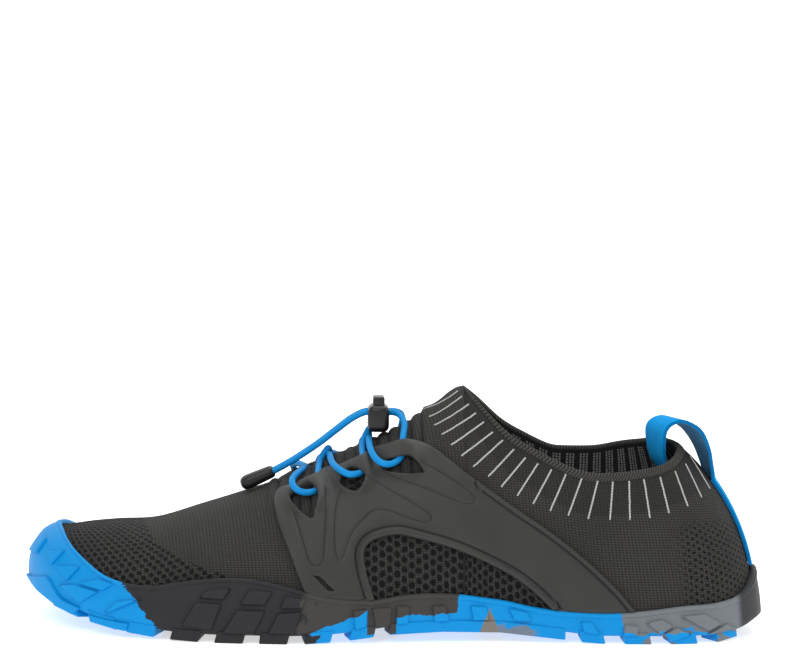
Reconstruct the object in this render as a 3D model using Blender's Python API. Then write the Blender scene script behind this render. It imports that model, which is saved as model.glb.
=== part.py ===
"""A left barefoot shoe: a knitted sock upper with a moulded side frame, a wrap-up rubber outsole with lugs,
an insole, a heel pull tab, and an elastic lace with a cord lock.

The toe points along -X and the lateral (outer) side is -Y. The ground is z = 0.
"""

import bisect
import math
from collections import namedtuple

import bmesh
import bpy
from mathutils import Vector
from mathutils.geometry import delaunay_2d_cdt

# Driving sizes of the shoe, in metres
LENGTH = 0.2815
BALL_WIDTH = 0.0945
HEEL_WIDTH = 0.0680
TOE_HEIGHT = 0.0380
INSTEP_HEIGHT = 0.0930
HEEL_HEIGHT = 0.0740
TOE_SPRING = 0.0110
ARCH_RISE = 0.0042
HEEL_BEVEL = 0.0060

# Walls and layers
UPPER_WALL = 0.0020
SOLE_THICKNESS = 0.0040
LUG_DEPTH = 0.0030
INSOLE_THICKNESS = 0.0030
RAND_TOP_THICKNESS = 0.0012
RAND_FOOT_THICKNESS = 0.0024
SIDE_PLATE_HEIGHT = 0.0007
HEEL_LIP = 0.0009
FRAME_THICKNESS = 0.0011
TAB_WIDTH = 0.0170
TAB_THICKNESS = 0.0014
CLEARANCE = 0.0003
RAND_CLEARANCE = 0.0006

# The lace and its fittings
LACE_DIAMETER = 0.0025
LOCK_LENGTH = 0.0082
LOCK_WIDTH = 0.0150
LOCK_HEIGHT = 0.0104
PLUNGER_LENGTH = 0.0045
PLUNGER_WIDTH = 0.0100
PLUNGER_STICKS_OUT = 0.0032
PLUNGER_TRAVEL = 0.0025
CORD_END_LENGTH = 0.0140
CORD_END_WIDTH = 0.0076
CORD_END_HEIGHT = 0.0054

LATERAL, MEDIAL = -1, 1

# One row for each cross-section, from the toe tip to the back of the heel, in shares of the named sizes.
# x: where the section meets the sole. lateral, medial: how far that edge lies from the long axis, towards
# its own side. pivot: the x of the crest above it. lean: how far the crest lies to the medial side.
# top: the crest's height, and behind the instep the height that the section would close at.
# cut_l, cut_m: how far out the collar's rim cuts the section, 0 where it is closed. full: the roundness.
# rand: the height of the outsole's upper edge, in toe heights.
Section = namedtuple("Section", "zone x lateral medial pivot lean top cut_l cut_m full rand")
SECTIONS = [
    Section("toe", 0.000, -0.090, 0.090, 0.050, 0.060, 0.925, 0.000, 0.000, 2.30, 0.915),
    Section("toe", 0.012, 0.075, 0.225, 0.053, 0.060, 0.925, 0.000, 0.000, 2.30, 0.908),
    Section("toe", 0.036, 0.205, 0.325, 0.062, 0.060, 0.930, 0.000, 0.000, 2.30, 0.865),
    Section("toe", 0.070, 0.310, 0.400, 0.083, 0.060, 0.955, 0.000, 0.000, 2.30, 0.725),
    Section("toe", 0.112, 0.390, 0.450, 0.116, 0.060, 0.980, 0.000, 0.000, 2.28, 0.560),
    Section("toe", 0.165, 0.450, 0.490, 0.165, 0.060, 1.006, 0.000, 0.000, 2.25, 0.505),
    Section("instep", 0.230, 0.487, 0.513, 0.230, 0.060, 0.474, 0.000, 0.000, 2.20, 0.579),
    Section("instep", 0.285, 0.502, 0.508, 0.285, 0.058, 0.531, 0.000, 0.000, 2.15, 0.616),
    Section("instep", 0.345, 0.502, 0.476, 0.345, 0.055, 0.598, 0.000, 0.000, 2.10, 0.558),
    Section("instep", 0.405, 0.487, 0.428, 0.405, 0.050, 0.682, 0.000, 0.000, 2.02, 0.450),
    Section("instep", 0.465, 0.455, 0.376, 0.465, 0.040, 0.768, 0.000, 0.000, 1.95, 0.426),
    Section("instep", 0.505, 0.432, 0.349, 0.505, 0.030, 0.832, 0.000, 0.000, 1.90, 0.471),
    Section("instep", 0.540, 0.415, 0.336, 0.540, 0.020, 0.905, 0.000, 0.000, 1.90, 0.487),
    Section("instep", 0.585, 0.395, 0.328, 0.585, 0.010, 1.000, 0.000, 0.000, 1.90, 0.471),
    Section("instep", 0.606, 0.388, 0.325, 0.606, 0.006, 0.998, 0.340, 0.310, 1.90, 0.450),
    Section("instep", 0.640, 0.380, 0.325, 0.640, 0.000, 0.996, 0.550, 0.520, 1.90, 0.416),
    Section("instep", 0.680, 0.375, 0.330, 0.680, 0.000, 1.010, 0.660, 0.640, 1.90, 0.355),
    Section("heel", 0.725, 0.518, 0.465, 0.725, 0.000, 1.320, 0.755, 0.730, 1.92, 0.315),
    Section("heel", 0.775, 0.515, 0.470, 0.763, 0.000, 1.330, 0.783, 0.737, 1.95, 0.302),
    Section("heel", 0.830, 0.505, 0.468, 0.779, 0.000, 1.290, 0.762, 0.698, 1.98, 0.326),
    Section("heel", 0.885, 0.475, 0.445, 0.783, 0.000, 1.220, 0.705, 0.631, 2.00, 0.375),
    Section("heel", 0.930, 0.410, 0.390, 0.780, 0.000, 1.165, 0.618, 0.541, 1.95, 0.392),
    Section("heel", 0.965, 0.305, 0.295, 0.776, 0.000, 1.145, 0.555, 0.491, 1.90, 0.447),
    Section("heel", 0.988, 0.165, 0.162, 0.773, 0.000, 1.140, 0.522, 0.493, 1.88, 0.590),
    Section("heel", 0.995, 0.000, 0.000, 0.772, 0.000, 1.140, 0.505, 0.505, 1.88, 0.665),
]
PEAK_ROW = 13
ZONE_WIDTH = {"toe": BALL_WIDTH, "instep": BALL_WIDTH, "heel": HEEL_WIDTH}
ZONE_HEIGHT = {"toe": TOE_HEIGHT, "instep": INSTEP_HEIGHT, "heel": HEEL_HEIGHT}

# The underside of the lugs along the shoe: shares of the toe spring, the arch's rise and the heel's bevel.
Ground = namedtuple("Ground", "x toe arch heel")
GROUND = [
    Ground(0.000, 1.00, 0.00, 0.00),
    Ground(0.030, 0.80, 0.00, 0.00),
    Ground(0.060, 0.59, 0.00, 0.00),
    Ground(0.110, 0.31, 0.00, 0.00),
    Ground(0.170, 0.11, 0.00, 0.00),
    Ground(0.250, 0.00, 0.00, 0.00),
    Ground(0.345, 0.00, 0.00, 0.00),
    Ground(0.420, 0.00, 0.22, 0.00),
    Ground(0.500, 0.00, 0.84, 0.00),
    Ground(0.570, 0.00, 1.00, 0.00),
    Ground(0.640, 0.00, 0.92, 0.00),
    Ground(0.700, 0.00, 0.50, 0.00),
    Ground(0.780, 0.00, 0.00, 0.00),
    Ground(0.920, 0.00, 0.00, 0.00),
    Ground(0.960, 0.00, 0.00, 0.22),
    Ground(1.000, 0.00, 0.00, 1.00),
]


def curve(ts, vs, first=None, last=None):
    """A smooth function through the values vs at ts, which doesn't overshoot them."""
    count = len(ts)
    rise = [(vs[i + 1] - vs[i]) / (ts[i + 1] - ts[i]) for i in range(count - 1)]
    slope = [rise[0] if first is None else first] + [0.0] * (count - 1)
    slope[-1] = rise[-1] if last is None else last
    for i in range(1, count - 1):
        if rise[i - 1] * rise[i] <= 0:
            continue
        before, after = ts[i] - ts[i - 1], ts[i + 1] - ts[i]
        middle = (rise[i - 1] * after + rise[i] * before) / (before + after)
        most = 3 * min(abs(rise[i - 1]), abs(rise[i]))
        slope[i] = math.copysign(min(abs(middle), most), middle)

    def at(t):
        t = min(max(t, ts[0]), ts[-1])
        i = min(bisect.bisect_right(ts, t) - 1, count - 2)
        h = ts[i + 1] - ts[i]
        s = (t - ts[i]) / h
        bend = s * s * (3 - 2 * s)
        return (
            vs[i]
            + (vs[i + 1] - vs[i]) * bend
            + h * s * (1 - s) * ((1 - s) * slope[i] - s * slope[i + 1])
        )

    return at


def mix(a, b, s):
    return a + (b - a) * s


# How much of the heel's bevel the inner floor follows.
FLOOR_BEVEL = 0.25
ground_at = curve(
    [g.x * LENGTH for g in GROUND],
    [g.toe * TOE_SPRING + g.arch * ARCH_RISE + g.heel * HEEL_BEVEL for g in GROUND],
)
bed_at = curve(
    [g.x * LENGTH for g in GROUND],
    [g.toe * TOE_SPRING + g.arch * ARCH_RISE + g.heel * HEEL_BEVEL * FLOOR_BEVEL for g in GROUND],
)


def floor_at(x):
    """The height that the upper stands on, over the outsole's inner floor."""
    return bed_at(x) + LUG_DEPTH + SOLE_THICKNESS


class Last:
    """The upper's outer surface. t runs from the toe tip to the heel, v from the sole edge up to the top."""

    def __init__(self):
        edges = {
            side: [
                (s.x * LENGTH, side * share * ZONE_WIDTH[s.zone])
                for s in SECTIONS
                for share in [s.lateral if side == LATERAL else s.medial]
            ]
            for side in (LATERAL, MEDIAL)
        }
        middle = [
            ((a[0] + b[0]) / 2, (abs(a[1] - b[1])) / 2)
            for a, b in zip(edges[LATERAL], edges[MEDIAL])
        ]
        chords = [math.dist(p, q) for p, q in zip(middle, middle[1:])]
        along = [sum(chords[:i]) for i in range(len(chords) + 1)]
        ts = [distance / along[-1] for distance in along]
        self.known = {}
        self.peak = ts[PEAK_ROW]
        self.edge_x = curve(ts, [p[0] for p in edges[LATERAL]], 0, 0)
        self.edge_y = {}
        for side in (LATERAL, MEDIAL):
            ys = [p[1] for p in edges[side]]
            other = [p[1] for p in edges[-side]]
            first = (ys[1] - other[1]) / (2 * (ts[1] - ts[0]))
            last = (other[-2] - ys[-2]) / (2 * (ts[-1] - ts[-2]))
            self.edge_y[side] = curve(ts, ys, first, last)
        self.pivot_x = curve(ts, [s.pivot * LENGTH for s in SECTIONS], 0, 0)
        self.pivot_y = curve(ts, [s.lean * BALL_WIDTH for s in SECTIONS], 0, 0)
        self.top = curve(ts, [s.top * ZONE_HEIGHT[s.zone] for s in SECTIONS], 0, 0)
        self.full = curve(ts, [s.full for s in SECTIONS], 0, 0)
        self.rand = curve(ts, [s.rand * TOE_HEIGHT for s in SECTIONS], 0, 0)
        rear = SECTIONS[PEAK_ROW:]
        self.cut2 = {
            LATERAL: curve(ts[PEAK_ROW:], [s.cut_l**2 for s in rear], None, 0),
            MEDIAL: curve(ts[PEAK_ROW:], [s.cut_m**2 for s in rear], None, 0),
        }

    def cut(self, t, side):
        """How far out the rim cuts this section, as a share of its half width."""
        return 0.0 if t <= self.peak else math.sqrt(max(self.cut2[side](t), 0.0))

    def section(self, t, side):
        """The values that shape one side of the section at t, kept for the next time."""
        key = (t, side)
        if key not in self.known:
            x = self.edge_x(t)
            power = 2 / self.full(t)
            self.known[key] = (
                (x, self.edge_y[side](t), floor_at(x)),
                (self.pivot_x(t), self.pivot_y(t), self.top(t)),
                power,
                math.acos(self.cut(t, side) ** (1 / power)),
            )
        return self.known[key]

    def point(self, t, v, side):
        foot, top, power, turn = self.section(t, side)
        out = max(math.cos(turn * v), 0.0) ** power
        up = max(math.sin(turn * v), 0.0) ** power
        return Vector((mix(top[0], foot[0], out), mix(top[1], foot[1], out), mix(foot[2], top[2], up)))

    def normal(self, t, v, side):
        closed = self.cut(t, side) == 0
        v = min(max(v, 0.02), 0.97 if closed else 0.99)
        t = min(max(t, 0.0), 1.0)
        dt, dv = 0.004, 0.01
        low, high = max(t - dt, 0.0), min(t + dt, 1.0)
        along = self.point(high, v, side) - self.point(low, v, side)
        if t < dt or t > 1 - dt:
            inner = dt if t < dt else 1 - dt
            other = self.point(inner, v, -side) - self.point(inner, v, side)
            along = other if t > 1 - dt else -other
        up = self.point(t, v + dv, side) - self.point(t, v - dv, side)
        n = along.cross(up) if side == LATERAL else up.cross(along)
        return n.normalized()

    def shell(self, t, v, side, off):
        """A point that lies off outside the surface."""
        n = self.normal(t, v, side)
        if v > 0.999 and self.cut(t, side) == 0:
            n = (n + self.normal(t, v, -side)).normalized()
        return self.point(t, v, side) + n * off

    def t_at(self, x):
        """The t whose section meets the sole at x."""
        low, high = 0.0, 1.0
        for _ in range(26):
            middle = (low + high) / 2
            low, high = (middle, high) if self.edge_x(middle) < x else (low, middle)
        return (low + high) / 2

    def v_at(self, t, side, z, off=0.0):
        """How far up the section the surface, or one that lies off outside it, reaches the height z."""
        low, high = 0.0, 1.0
        for _ in range(18):
            v = (low + high) / 2
            p = self.shell(t, v, side, off) if off else self.point(t, v, side)
            low, high = (v, high) if p.z < z else (low, v)
        return (low + high) / 2

    def find(self, x, z, side, off=0.0):
        """The t and v whose point, moved off outside the surface, is seen at x and z from the side."""
        edge = x
        for _ in range(4):
            t = self.t_at(edge)
            v = self.v_at(t, side, z, off)
            edge += x - self.shell(t, v, side, off).x
        return t, v

    def height(self, x, y):
        """The height of the closed surface over the place x, y."""
        t = self.t_at(x)
        side = LATERAL if y < self.pivot_y(t) else MEDIAL
        low, high = 0.0, 1.0
        for _ in range(20):
            v = (low + high) / 2
            away = abs(self.point(t, v, side).y - self.pivot_y(t))
            low, high = (v, high) if away > abs(y - self.pivot_y(t)) else (low, v)
        return self.point(t, v, side).z

    def rand_v(self, t, side):
        return self.v_at(t, side, self.rand(t))


LAST = Last()

# The grid of the upper and the rand
STATIONS = 34
WALL_ROWS = 9
RAND_ROWS = 5


def stations(count):
    """t values from toe to heel, closer together round the two ends, with one at the collar's peak."""
    raw = [0.5 - 0.5 * math.cos(math.pi * i / count) for i in range(count + 1)]
    ts = [mix(i / count, raw[i], 0.45) for i in range(count + 1)]
    nearest = min(range(count + 1), key=lambda i: abs(ts[i] - LAST.peak))
    ts[nearest] = LAST.peak
    return ts


def loop_of(ts):
    """The stations as one closed loop: back along the lateral side and forward along the medial side."""
    return [(t, LATERAL) for t in ts] + [(t, MEDIAL) for t in ts[-2:0:-1]]


def material(name, colour, roughness, metallic=0.0):
    made = bpy.data.materials.new(name)
    made.use_nodes = True
    shader = made.node_tree.nodes["Principled BSDF"]
    shader.inputs["Base Color"].default_value = (*colour, 1)
    shader.inputs["Roughness"].default_value = roughness
    shader.inputs["Metallic"].default_value = metallic
    return made


def add_object(name, mesh, look, parent=None):
    mesh.materials.clear()
    mesh.materials.append(look)
    made = bpy.data.objects.new(name, mesh)
    bpy.context.scene.collection.objects.link(made)
    made.parent = parent
    return made


def mesh_from(name, points, faces):
    """A mesh with its faces turned outwards."""
    mesh = bpy.data.meshes.new(name)
    mesh.from_pydata([tuple(p) for p in points], [], faces)
    bm = bmesh.new()
    bm.from_mesh(mesh)
    bmesh.ops.recalc_face_normals(bm, faces=bm.faces)
    bm.to_mesh(mesh)
    bm.free()
    return mesh


def mesh_joined(name, parts):
    """One mesh of several lists of points and faces."""
    points, faces = [], []
    for part_points, part_faces in parts:
        start = len(points)
        points += list(part_points)
        faces += [[i + start for i in face] for face in part_faces]
    return mesh_from(name, points, faces)


def upper_mesh():
    """The knitted sock: an outer and an inner skin, joined round the sole edge and round the collar."""
    ts = stations(STATIONS)
    points, index = [], {}

    def corner(layer, i, j, side):
        closed = j == WALL_ROWS and ts[i] <= LAST.peak + 1e-9
        shared = closed or i in (0, STATIONS)
        key = (layer, i, j, 0 if shared else side)
        if key not in index:
            index[key] = len(points)
            points.append(LAST.shell(ts[i], j / WALL_ROWS, side, -UPPER_WALL * layer))
        return index[key]

    faces = []
    for side in (LATERAL, MEDIAL):
        for i in range(STATIONS):
            for layer in (0, 1):
                for j in range(WALL_ROWS):
                    faces.append(
                        [
                            corner(layer, i, j, side),
                            corner(layer, i + 1, j, side),
                            corner(layer, i + 1, j + 1, side),
                            corner(layer, i, j + 1, side),
                        ]
                    )
            edges = [0] if ts[i] < LAST.peak - 1e-9 else [0, WALL_ROWS]
            for j in edges:
                faces.append(
                    [
                        corner(0, i, j, side),
                        corner(0, i + 1, j, side),
                        corner(1, i + 1, j, side),
                        corner(1, i, j, side),
                    ]
                )
    return mesh_from("upper", points, faces)


def inside(x, y, ring):
    """Whether a point lies inside a closed ring."""
    found = False
    for (ax, ay), (bx, by) in zip(ring, ring[1:] + ring[:1]):
        if (ay > y) != (by > y) and x < (bx - ax) * (y - ay) / (by - ay) + ax:
            found = not found
    return found


def distance_to(x, y, ring):
    """How far a point lies from a closed ring."""
    best = 1.0
    for (ax, ay), (bx, by) in zip(ring, ring[1:] + ring[:1]):
        dx, dy = bx - ax, by - ay
        s = ((x - ax) * dx + (y - ay) * dy) / max(dx * dx + dy * dy, 1e-12)
        s = min(max(s, 0.0), 1.0)
        best = min(best, math.hypot(ax + s * dx - x, ay + s * dy - y))
    return best


def triangulate(outline, holes, step):
    """Triangles that fill an outline round its holes, with inner points about a step apart."""
    rings = [outline] + holes
    flat, edges = [], []
    for ring in rings:
        start = len(flat)
        flat += ring
        edges += [(start + k, start + (k + 1) % len(ring)) for k in range(len(ring))]
    xs, ys = [p[0] for p in outline], [p[1] for p in outline]
    for i in range(1, int((max(xs) - min(xs)) / step) + 1):
        for j in range(1, int((max(ys) - min(ys)) / step) + 1):
            x = min(xs) + (i + 0.5 * (j % 2)) * step
            y = min(ys) + j * step
            if not inside(x, y, outline) or any(inside(x, y, hole) for hole in holes):
                continue
            if min(distance_to(x, y, ring) for ring in rings) > 0.45 * step:
                flat.append((x, y))
    vectors = [Vector(p) for p in flat]
    found = delaunay_2d_cdt(vectors, edges, [], 0, 1e-7)
    triangles = []
    for face in found[2]:
        x = sum(found[0][k].x for k in face) / 3
        y = sum(found[0][k].y for k in face) / 3
        if inside(x, y, outline) and not any(inside(x, y, hole) for hole in holes):
            triangles.append(list(face))
    return [tuple(p) for p in found[0]], triangles, [len(ring) for ring in rings]


def plate_from(flat, triangles, ring_sizes, lower, upper):
    """A closed plate: the triangles twice, at the lower and the upper place of each flat point."""
    count = len(flat)
    points = [lower(x, y) for x, y in flat] + [upper(x, y) for x, y in flat]
    faces = [[a, b, c] for a, b, c in triangles]
    faces += [[a + count, c + count, b + count] for a, b, c in triangles]
    start = 0
    for size in ring_sizes:
        for k in range(size):
            a, b = start + k, start + (k + 1) % size
            faces.append([a, b, b + count, a + count])
        start += size
    return points, faces


def along_line(points, step):
    """The points of a smooth line through the given points, about a step apart."""
    padded = [points[0]] + points + [points[-1]]
    line = []
    for a, b, c, d in zip(padded, padded[1:], padded[2:], padded[3:]):
        a, b, c, d = map(Vector, (a, b, c, d))
        pieces = max(1, round((c - b).length / step))
        for k in range(pieces):
            s = k / pieces
            line.append(
                0.5
                * (
                    2 * b
                    + (c - a) * s
                    + (2 * a - 5 * b + 4 * c - d) * s**2
                    + (3 * b - a - 3 * c + d) * s**3
                )
            )
    return line + [Vector(points[-1])]


def around_ring(points, step):
    """A smooth closed line through the given points."""
    wrapped = points[-1:] + points + points[:2]
    line = along_line(wrapped, step)
    first = Vector(points[0])
    start = min(range(len(line)), key=lambda k: (line[k] - first).length)
    end = min(
        range(start + 3, len(line)), key=lambda k: (line[k] - Vector(points[0])).length
    )
    return line[start:end]


# The outsole


def rand_offset(t, s):
    """How far the rand's outer face lies outside the upper. s runs from its foot, 0, to its upper edge, 1."""
    lip = HEEL_LIP * min(max((LAST.edge_x(t) / LENGTH - 0.955) / 0.03, 0.0), 1.0)
    return CLEARANCE + mix(RAND_FOOT_THICKNESS, RAND_TOP_THICKNESS, s) + lip


def rand_point(t, s, side, extra=0.0):
    """A point on the rand's outer face, or extra outside it."""
    v = s * LAST.rand_v(t, side)
    return LAST.shell(t, v, side, rand_offset(t, s) + extra)


def sole_body():
    """The cup that holds the upper: its wall, upper edge, floor and plain underside."""
    ts = stations(STATIONS)
    loop = loop_of(ts)
    rows = []
    for t, side in loop:
        v_top = LAST.rand_v(t, side)
        under = rand_point(t, 0.0, side, -0.25 * RAND_FOOT_THICKNESS)
        under.z = ground_at(LAST.edge_x(t)) + LUG_DEPTH
        row = [under]
        row += [rand_point(t, k / RAND_ROWS, side) for k in range(RAND_ROWS + 1)]
        row += [
            LAST.shell(t, v_top * k / RAND_ROWS, side, RAND_CLEARANCE)
            for k in range(RAND_ROWS, 0, -1)
        ]
        foot = LAST.shell(t, 0.0, side, RAND_CLEARANCE)
        row.append(foot - Vector((0, 0, CLEARANCE)))
        rows.append(row)
    width = len(rows[0])
    points = [p for row in rows for p in row]
    faces = []
    for i in range(len(loop)):
        a, b = i * width, (i + 1) % len(loop) * width
        faces += [[a + k, b + k, b + k + 1, a + k + 1] for k in range(width - 1)]
    under = (0, lambda x: ground_at(x) + LUG_DEPTH)
    over = (width - 1, lambda x: floor_at(x) - CLEARANCE)
    for k, height in (under, over):
        ring = [(row[k].x, row[k].y) for row in rows]
        flat, triangles, _ = triangulate(ring, [], 0.011)
        numbers = [i * width + k for i in range(len(loop))]
        for x, y in flat[len(ring) :]:
            numbers.append(len(points))
            points.append(Vector((x, y, height(x))))
        faces += [[numbers[i] for i in triangle] for triangle in triangles]
    return points, faces


def side_plate(x0, x1, low, high, lean, side):
    """A raised plate on the rand, low and high in shares of the rand's height, its top moved by lean."""
    columns = 1
    points = []
    for extra in (-0.4 * RAND_FOOT_THICKNESS, SIDE_PLATE_HEIGHT):
        for i in range(columns + 1):
            for s, shift in ((low, 0.0), (high, lean)):
                x = (mix(x0, x1, i / columns) + shift) * LENGTH
                points.append(rand_point(LAST.t_at(x), s, side, extra))
    return points, box_grid_faces(columns, 1)


def box_grid_faces(columns, rows):
    """The faces of a plate whose lower points come first, column by column, and then its upper points."""
    count = (columns + 1) * (rows + 1)

    def number(i, j, layer):
        return layer * count + i * (rows + 1) + j

    faces = []
    for layer in (0, 1):
        for i in range(columns):
            for j in range(rows):
                faces.append(
                    [
                        number(i, j, layer),
                        number(i + 1, j, layer),
                        number(i + 1, j + 1, layer),
                        number(i, j + 1, layer),
                    ]
                )
    for i in range(columns):
        for j in (0, rows):
            faces.append([number(i, j, 0), number(i + 1, j, 0), number(i + 1, j, 1), number(i, j, 1)])
    for j in range(rows):
        for i in (0, columns):
            faces.append([number(i, j, 0), number(i, j + 1, 0), number(i, j + 1, 1), number(i, j, 1)])
    return faces


def edge_lug(x0, x1, lean, depth, side):
    """A wedge lug on the sole's edge: its outer face is proud of the wall, and its foot is on the ground."""
    columns = 1
    points = []
    for layer in (0, 1):
        for i in range(columns + 1):
            x = mix(x0, x1, i / columns) * LENGTH
            for reach in (0.0, 1.0):
                t = LAST.t_at(x + lean * LENGTH * (1 - layer))
                outer = rand_point(t, 0.0, side, 0.6 * SIDE_PLATE_HEIGHT)
                wall = LAST.shell(t, 0.0, side, 0.0)
                inward = (wall - outer).normalized()
                p = outer + inward * (depth * reach)
                p.z = ground_at(p.x) + layer * (LUG_DEPTH + 0.35 * SOLE_THICKNESS)
                points.append(p)
    return points, box_grid_faces(columns, 1)


def inner_lug(x, y, length, width):
    """A six-sided lug under the middle of the sole."""
    points = []
    for layer in (0, 1):
        for dx, dy in ((-0.5, 0), (-0.22, 0.5), (0.22, 0.5), (0.5, 0), (0.22, -0.5), (-0.22, -0.5)):
            px, py = x + dx * length, y + dy * width
            points.append(Vector((px, py, ground_at(px) + layer * (LUG_DEPTH + 0.35 * SOLE_THICKNESS))))
    faces = [[0, 1, 2, 3, 4, 5], [6, 7, 8, 9, 10, 11]]
    faces += [[k, (k + 1) % 6, (k + 1) % 6 + 6, k + 6] for k in range(6)]
    return points, faces


# Raised plates on the rand: x from and to in shoe lengths, low and high in shares of the rand's height,
# and how far the plate's top leans to the heel.
Plate = namedtuple("Plate", "x0 x1 low high lean")
SIDE_PLATES = [
    Plate(0.012, 0.040, 0.12, 0.46, -0.008),
    Plate(0.048, 0.082, 0.12, 0.50, -0.012),
    Plate(0.090, 0.128, 0.10, 0.48, -0.010),
    Plate(0.196, 0.236, 0.56, 0.90, 0.006),
    Plate(0.186, 0.232, 0.04, 0.46, 0.010),
    Plate(0.256, 0.292, 0.56, 0.90, 0.006),
    Plate(0.246, 0.290, 0.04, 0.46, 0.010),
    Plate(0.312, 0.344, 0.56, 0.90, 0.006),
    Plate(0.304, 0.342, 0.04, 0.46, 0.008),
    Plate(0.400, 0.424, 0.10, 0.80, -0.006),
    Plate(0.434, 0.458, 0.10, 0.70, -0.006),
    Plate(0.500, 0.526, 0.10, 0.60, 0.004),
    Plate(0.556, 0.582, 0.10, 0.60, 0.004),
    Plate(0.610, 0.640, 0.10, 0.60, 0.004),
    Plate(0.770, 0.798, 0.10, 0.62, 0.006),
    Plate(0.822, 0.852, 0.10, 0.66, 0.006),
    Plate(0.876, 0.908, 0.10, 0.66, 0.004),
]

# Wedge lugs along both edges of the sole: x from and to in shoe lengths, and how far the foot leans.
EdgeLug = namedtuple("EdgeLug", "x0 x1 lean depth")
EDGE_LUGS = [
    EdgeLug(0.040, 0.074, 0.004, 0.013),
    EdgeLug(0.090, 0.126, 0.004, 0.014),
    EdgeLug(0.146, 0.182, -0.004, 0.015),
    EdgeLug(0.203, 0.240, -0.004, 0.016),
    EdgeLug(0.261, 0.298, -0.004, 0.016),
    EdgeLug(0.319, 0.356, -0.004, 0.016),
    EdgeLug(0.378, 0.412, -0.004, 0.014),
    EdgeLug(0.436, 0.468, -0.003, 0.012),
    EdgeLug(0.486, 0.560, 0.000, 0.010),
    EdgeLug(0.554, 0.640, 0.000, 0.010),
    EdgeLug(0.634, 0.724, 0.000, 0.010),
    EdgeLug(0.742, 0.774, 0.004, 0.012),
    EdgeLug(0.800, 0.836, 0.004, 0.012),
    EdgeLug(0.862, 0.898, 0.004, 0.012),
    EdgeLug(0.926, 0.954, 0.002, 0.011),
]

# Rows of lugs under the middle: x in shoe lengths, how many abreast, and their pitch in ball widths.
LugRow = namedtuple("LugRow", "x count pitch shift")
LUG_ROWS = [
    LugRow(0.085, 2, 0.17, 0.130),
    LugRow(0.142, 3, 0.17, 0.060),
    LugRow(0.200, 4, 0.17, 0.025),
    LugRow(0.258, 3, 0.17, 0.010),
    LugRow(0.316, 4, 0.17, 0.000),
    LugRow(0.374, 3, 0.17, -0.020),
    LugRow(0.780, 2, 0.17, -0.010),
    LugRow(0.838, 3, 0.15, -0.010),
    LugRow(0.896, 2, 0.15, -0.010),
]
LUG_LENGTH = 0.0110
LUG_WIDTH = 0.0120


def outsole(look, parent):
    body = add_object("outsole", mesh_from("outsole", *sole_body()), look, parent)
    relief = []
    for side in (LATERAL, MEDIAL):
        relief += [side_plate(*plate, side) for plate in SIDE_PLATES]
        relief += [edge_lug(*lug, side) for lug in EDGE_LUGS]
    for row in LUG_ROWS:
        for k in range(row.count):
            y = (row.shift + (k - (row.count - 1) / 2) * row.pitch) * BALL_WIDTH
            relief.append(inner_lug(row.x * LENGTH, y, LUG_LENGTH, LUG_WIDTH))
    helper = add_object("sole_relief", mesh_joined("sole_relief", relief), look, parent)
    helper.hide_render = True
    helper.display_type = "WIRE"
    join = body.modifiers.new("relief", "BOOLEAN")
    join.operation = "UNION"
    join.solver = "EXACT"
    join.use_self = True
    join.object = helper
    return body


def insole(look, parent):
    """The footbed, inside the upper's wall."""
    loop = loop_of(stations(STATIONS))

    def ring(height):
        points = []
        for t, side in loop:
            v = LAST.v_at(t, side, floor_at(LAST.edge_x(t)) + height)
            p = LAST.shell(t, v, side, -UPPER_WALL - CLEARANCE)
            points.append((p.x, p.y))
        return points

    outline = ring(INSOLE_THICKNESS)
    flat, triangles, sizes = triangulate(outline, [], 0.012)
    return add_object(
        "insole",
        mesh_from(
            "insole",
            *plate_from(
                flat,
                triangles,
                sizes,
                lambda x, y: Vector((x, y, floor_at(x))),
                lambda x, y: Vector((x, y, floor_at(x) + INSOLE_THICKNESS)),
            ),
        ),
        look,
        parent,
    )


# The moulded side frame, in shares of the shoe's length and of the instep's height
Mark = namedtuple("Mark", "x z")
FRAME_FRONT = [Mark(0.3535, 0.354), Mark(0.3370, 0.466), Mark(0.3295, 0.548)]
FRAME_TOP = [
    Mark(0.3360, 0.582),
    Mark(0.3500, 0.603),
    Mark(0.3900, 0.658),
    Mark(0.4240, 0.698),
    Mark(0.4575, 0.746),
    Mark(0.4927, 0.790),
    Mark(0.5120, 0.799),
    Mark(0.5425, 0.772),
    Mark(0.5960, 0.660),
    Mark(0.6554, 0.538),
    Mark(0.6980, 0.455),
    Mark(0.7450, 0.350),
    Mark(0.7920, 0.222),
]
FRAME_ARCH = [
    Mark(0.6750, 0.217),
    Mark(0.6405, 0.286),
    Mark(0.5755, 0.374),
    Mark(0.5110, 0.426),
    Mark(0.4895, 0.431),
    Mark(0.4690, 0.417),
    Mark(0.4565, 0.394),
    Mark(0.4515, 0.358),
    Mark(0.4544, 0.299),
    Mark(0.4600, 0.240),
]
FRAME_FEET = {"front": 0.3745, "arch_front": 0.4680, "arch_rear": 0.7060, "rear": 0.8190}
LACE_WINDOWS = [
    [
        Mark(0.352, 0.556),
        Mark(0.379, 0.489),
        Mark(0.385, 0.520),
        Mark(0.388, 0.592),
        Mark(0.374, 0.619),
        Mark(0.357, 0.586),
    ],
    [
        Mark(0.418, 0.624),
        Mark(0.438, 0.597),
        Mark(0.447, 0.620),
        Mark(0.451, 0.662),
        Mark(0.438, 0.684),
        Mark(0.426, 0.675),
    ],
    [
        Mark(0.470, 0.702),
        Mark(0.482, 0.676),
        Mark(0.524, 0.672),
        Mark(0.528, 0.688),
        Mark(0.511, 0.740),
        Mark(0.487, 0.728),
    ],
]
FRAME_SLOT = [Mark(0.386, 0.272), Mark(0.394, 0.268), Mark(0.413, 0.214), Mark(0.405, 0.216)]
FRAME_GAP = 0.0007
FRAME_CLEARANCE = 0.0005
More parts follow.
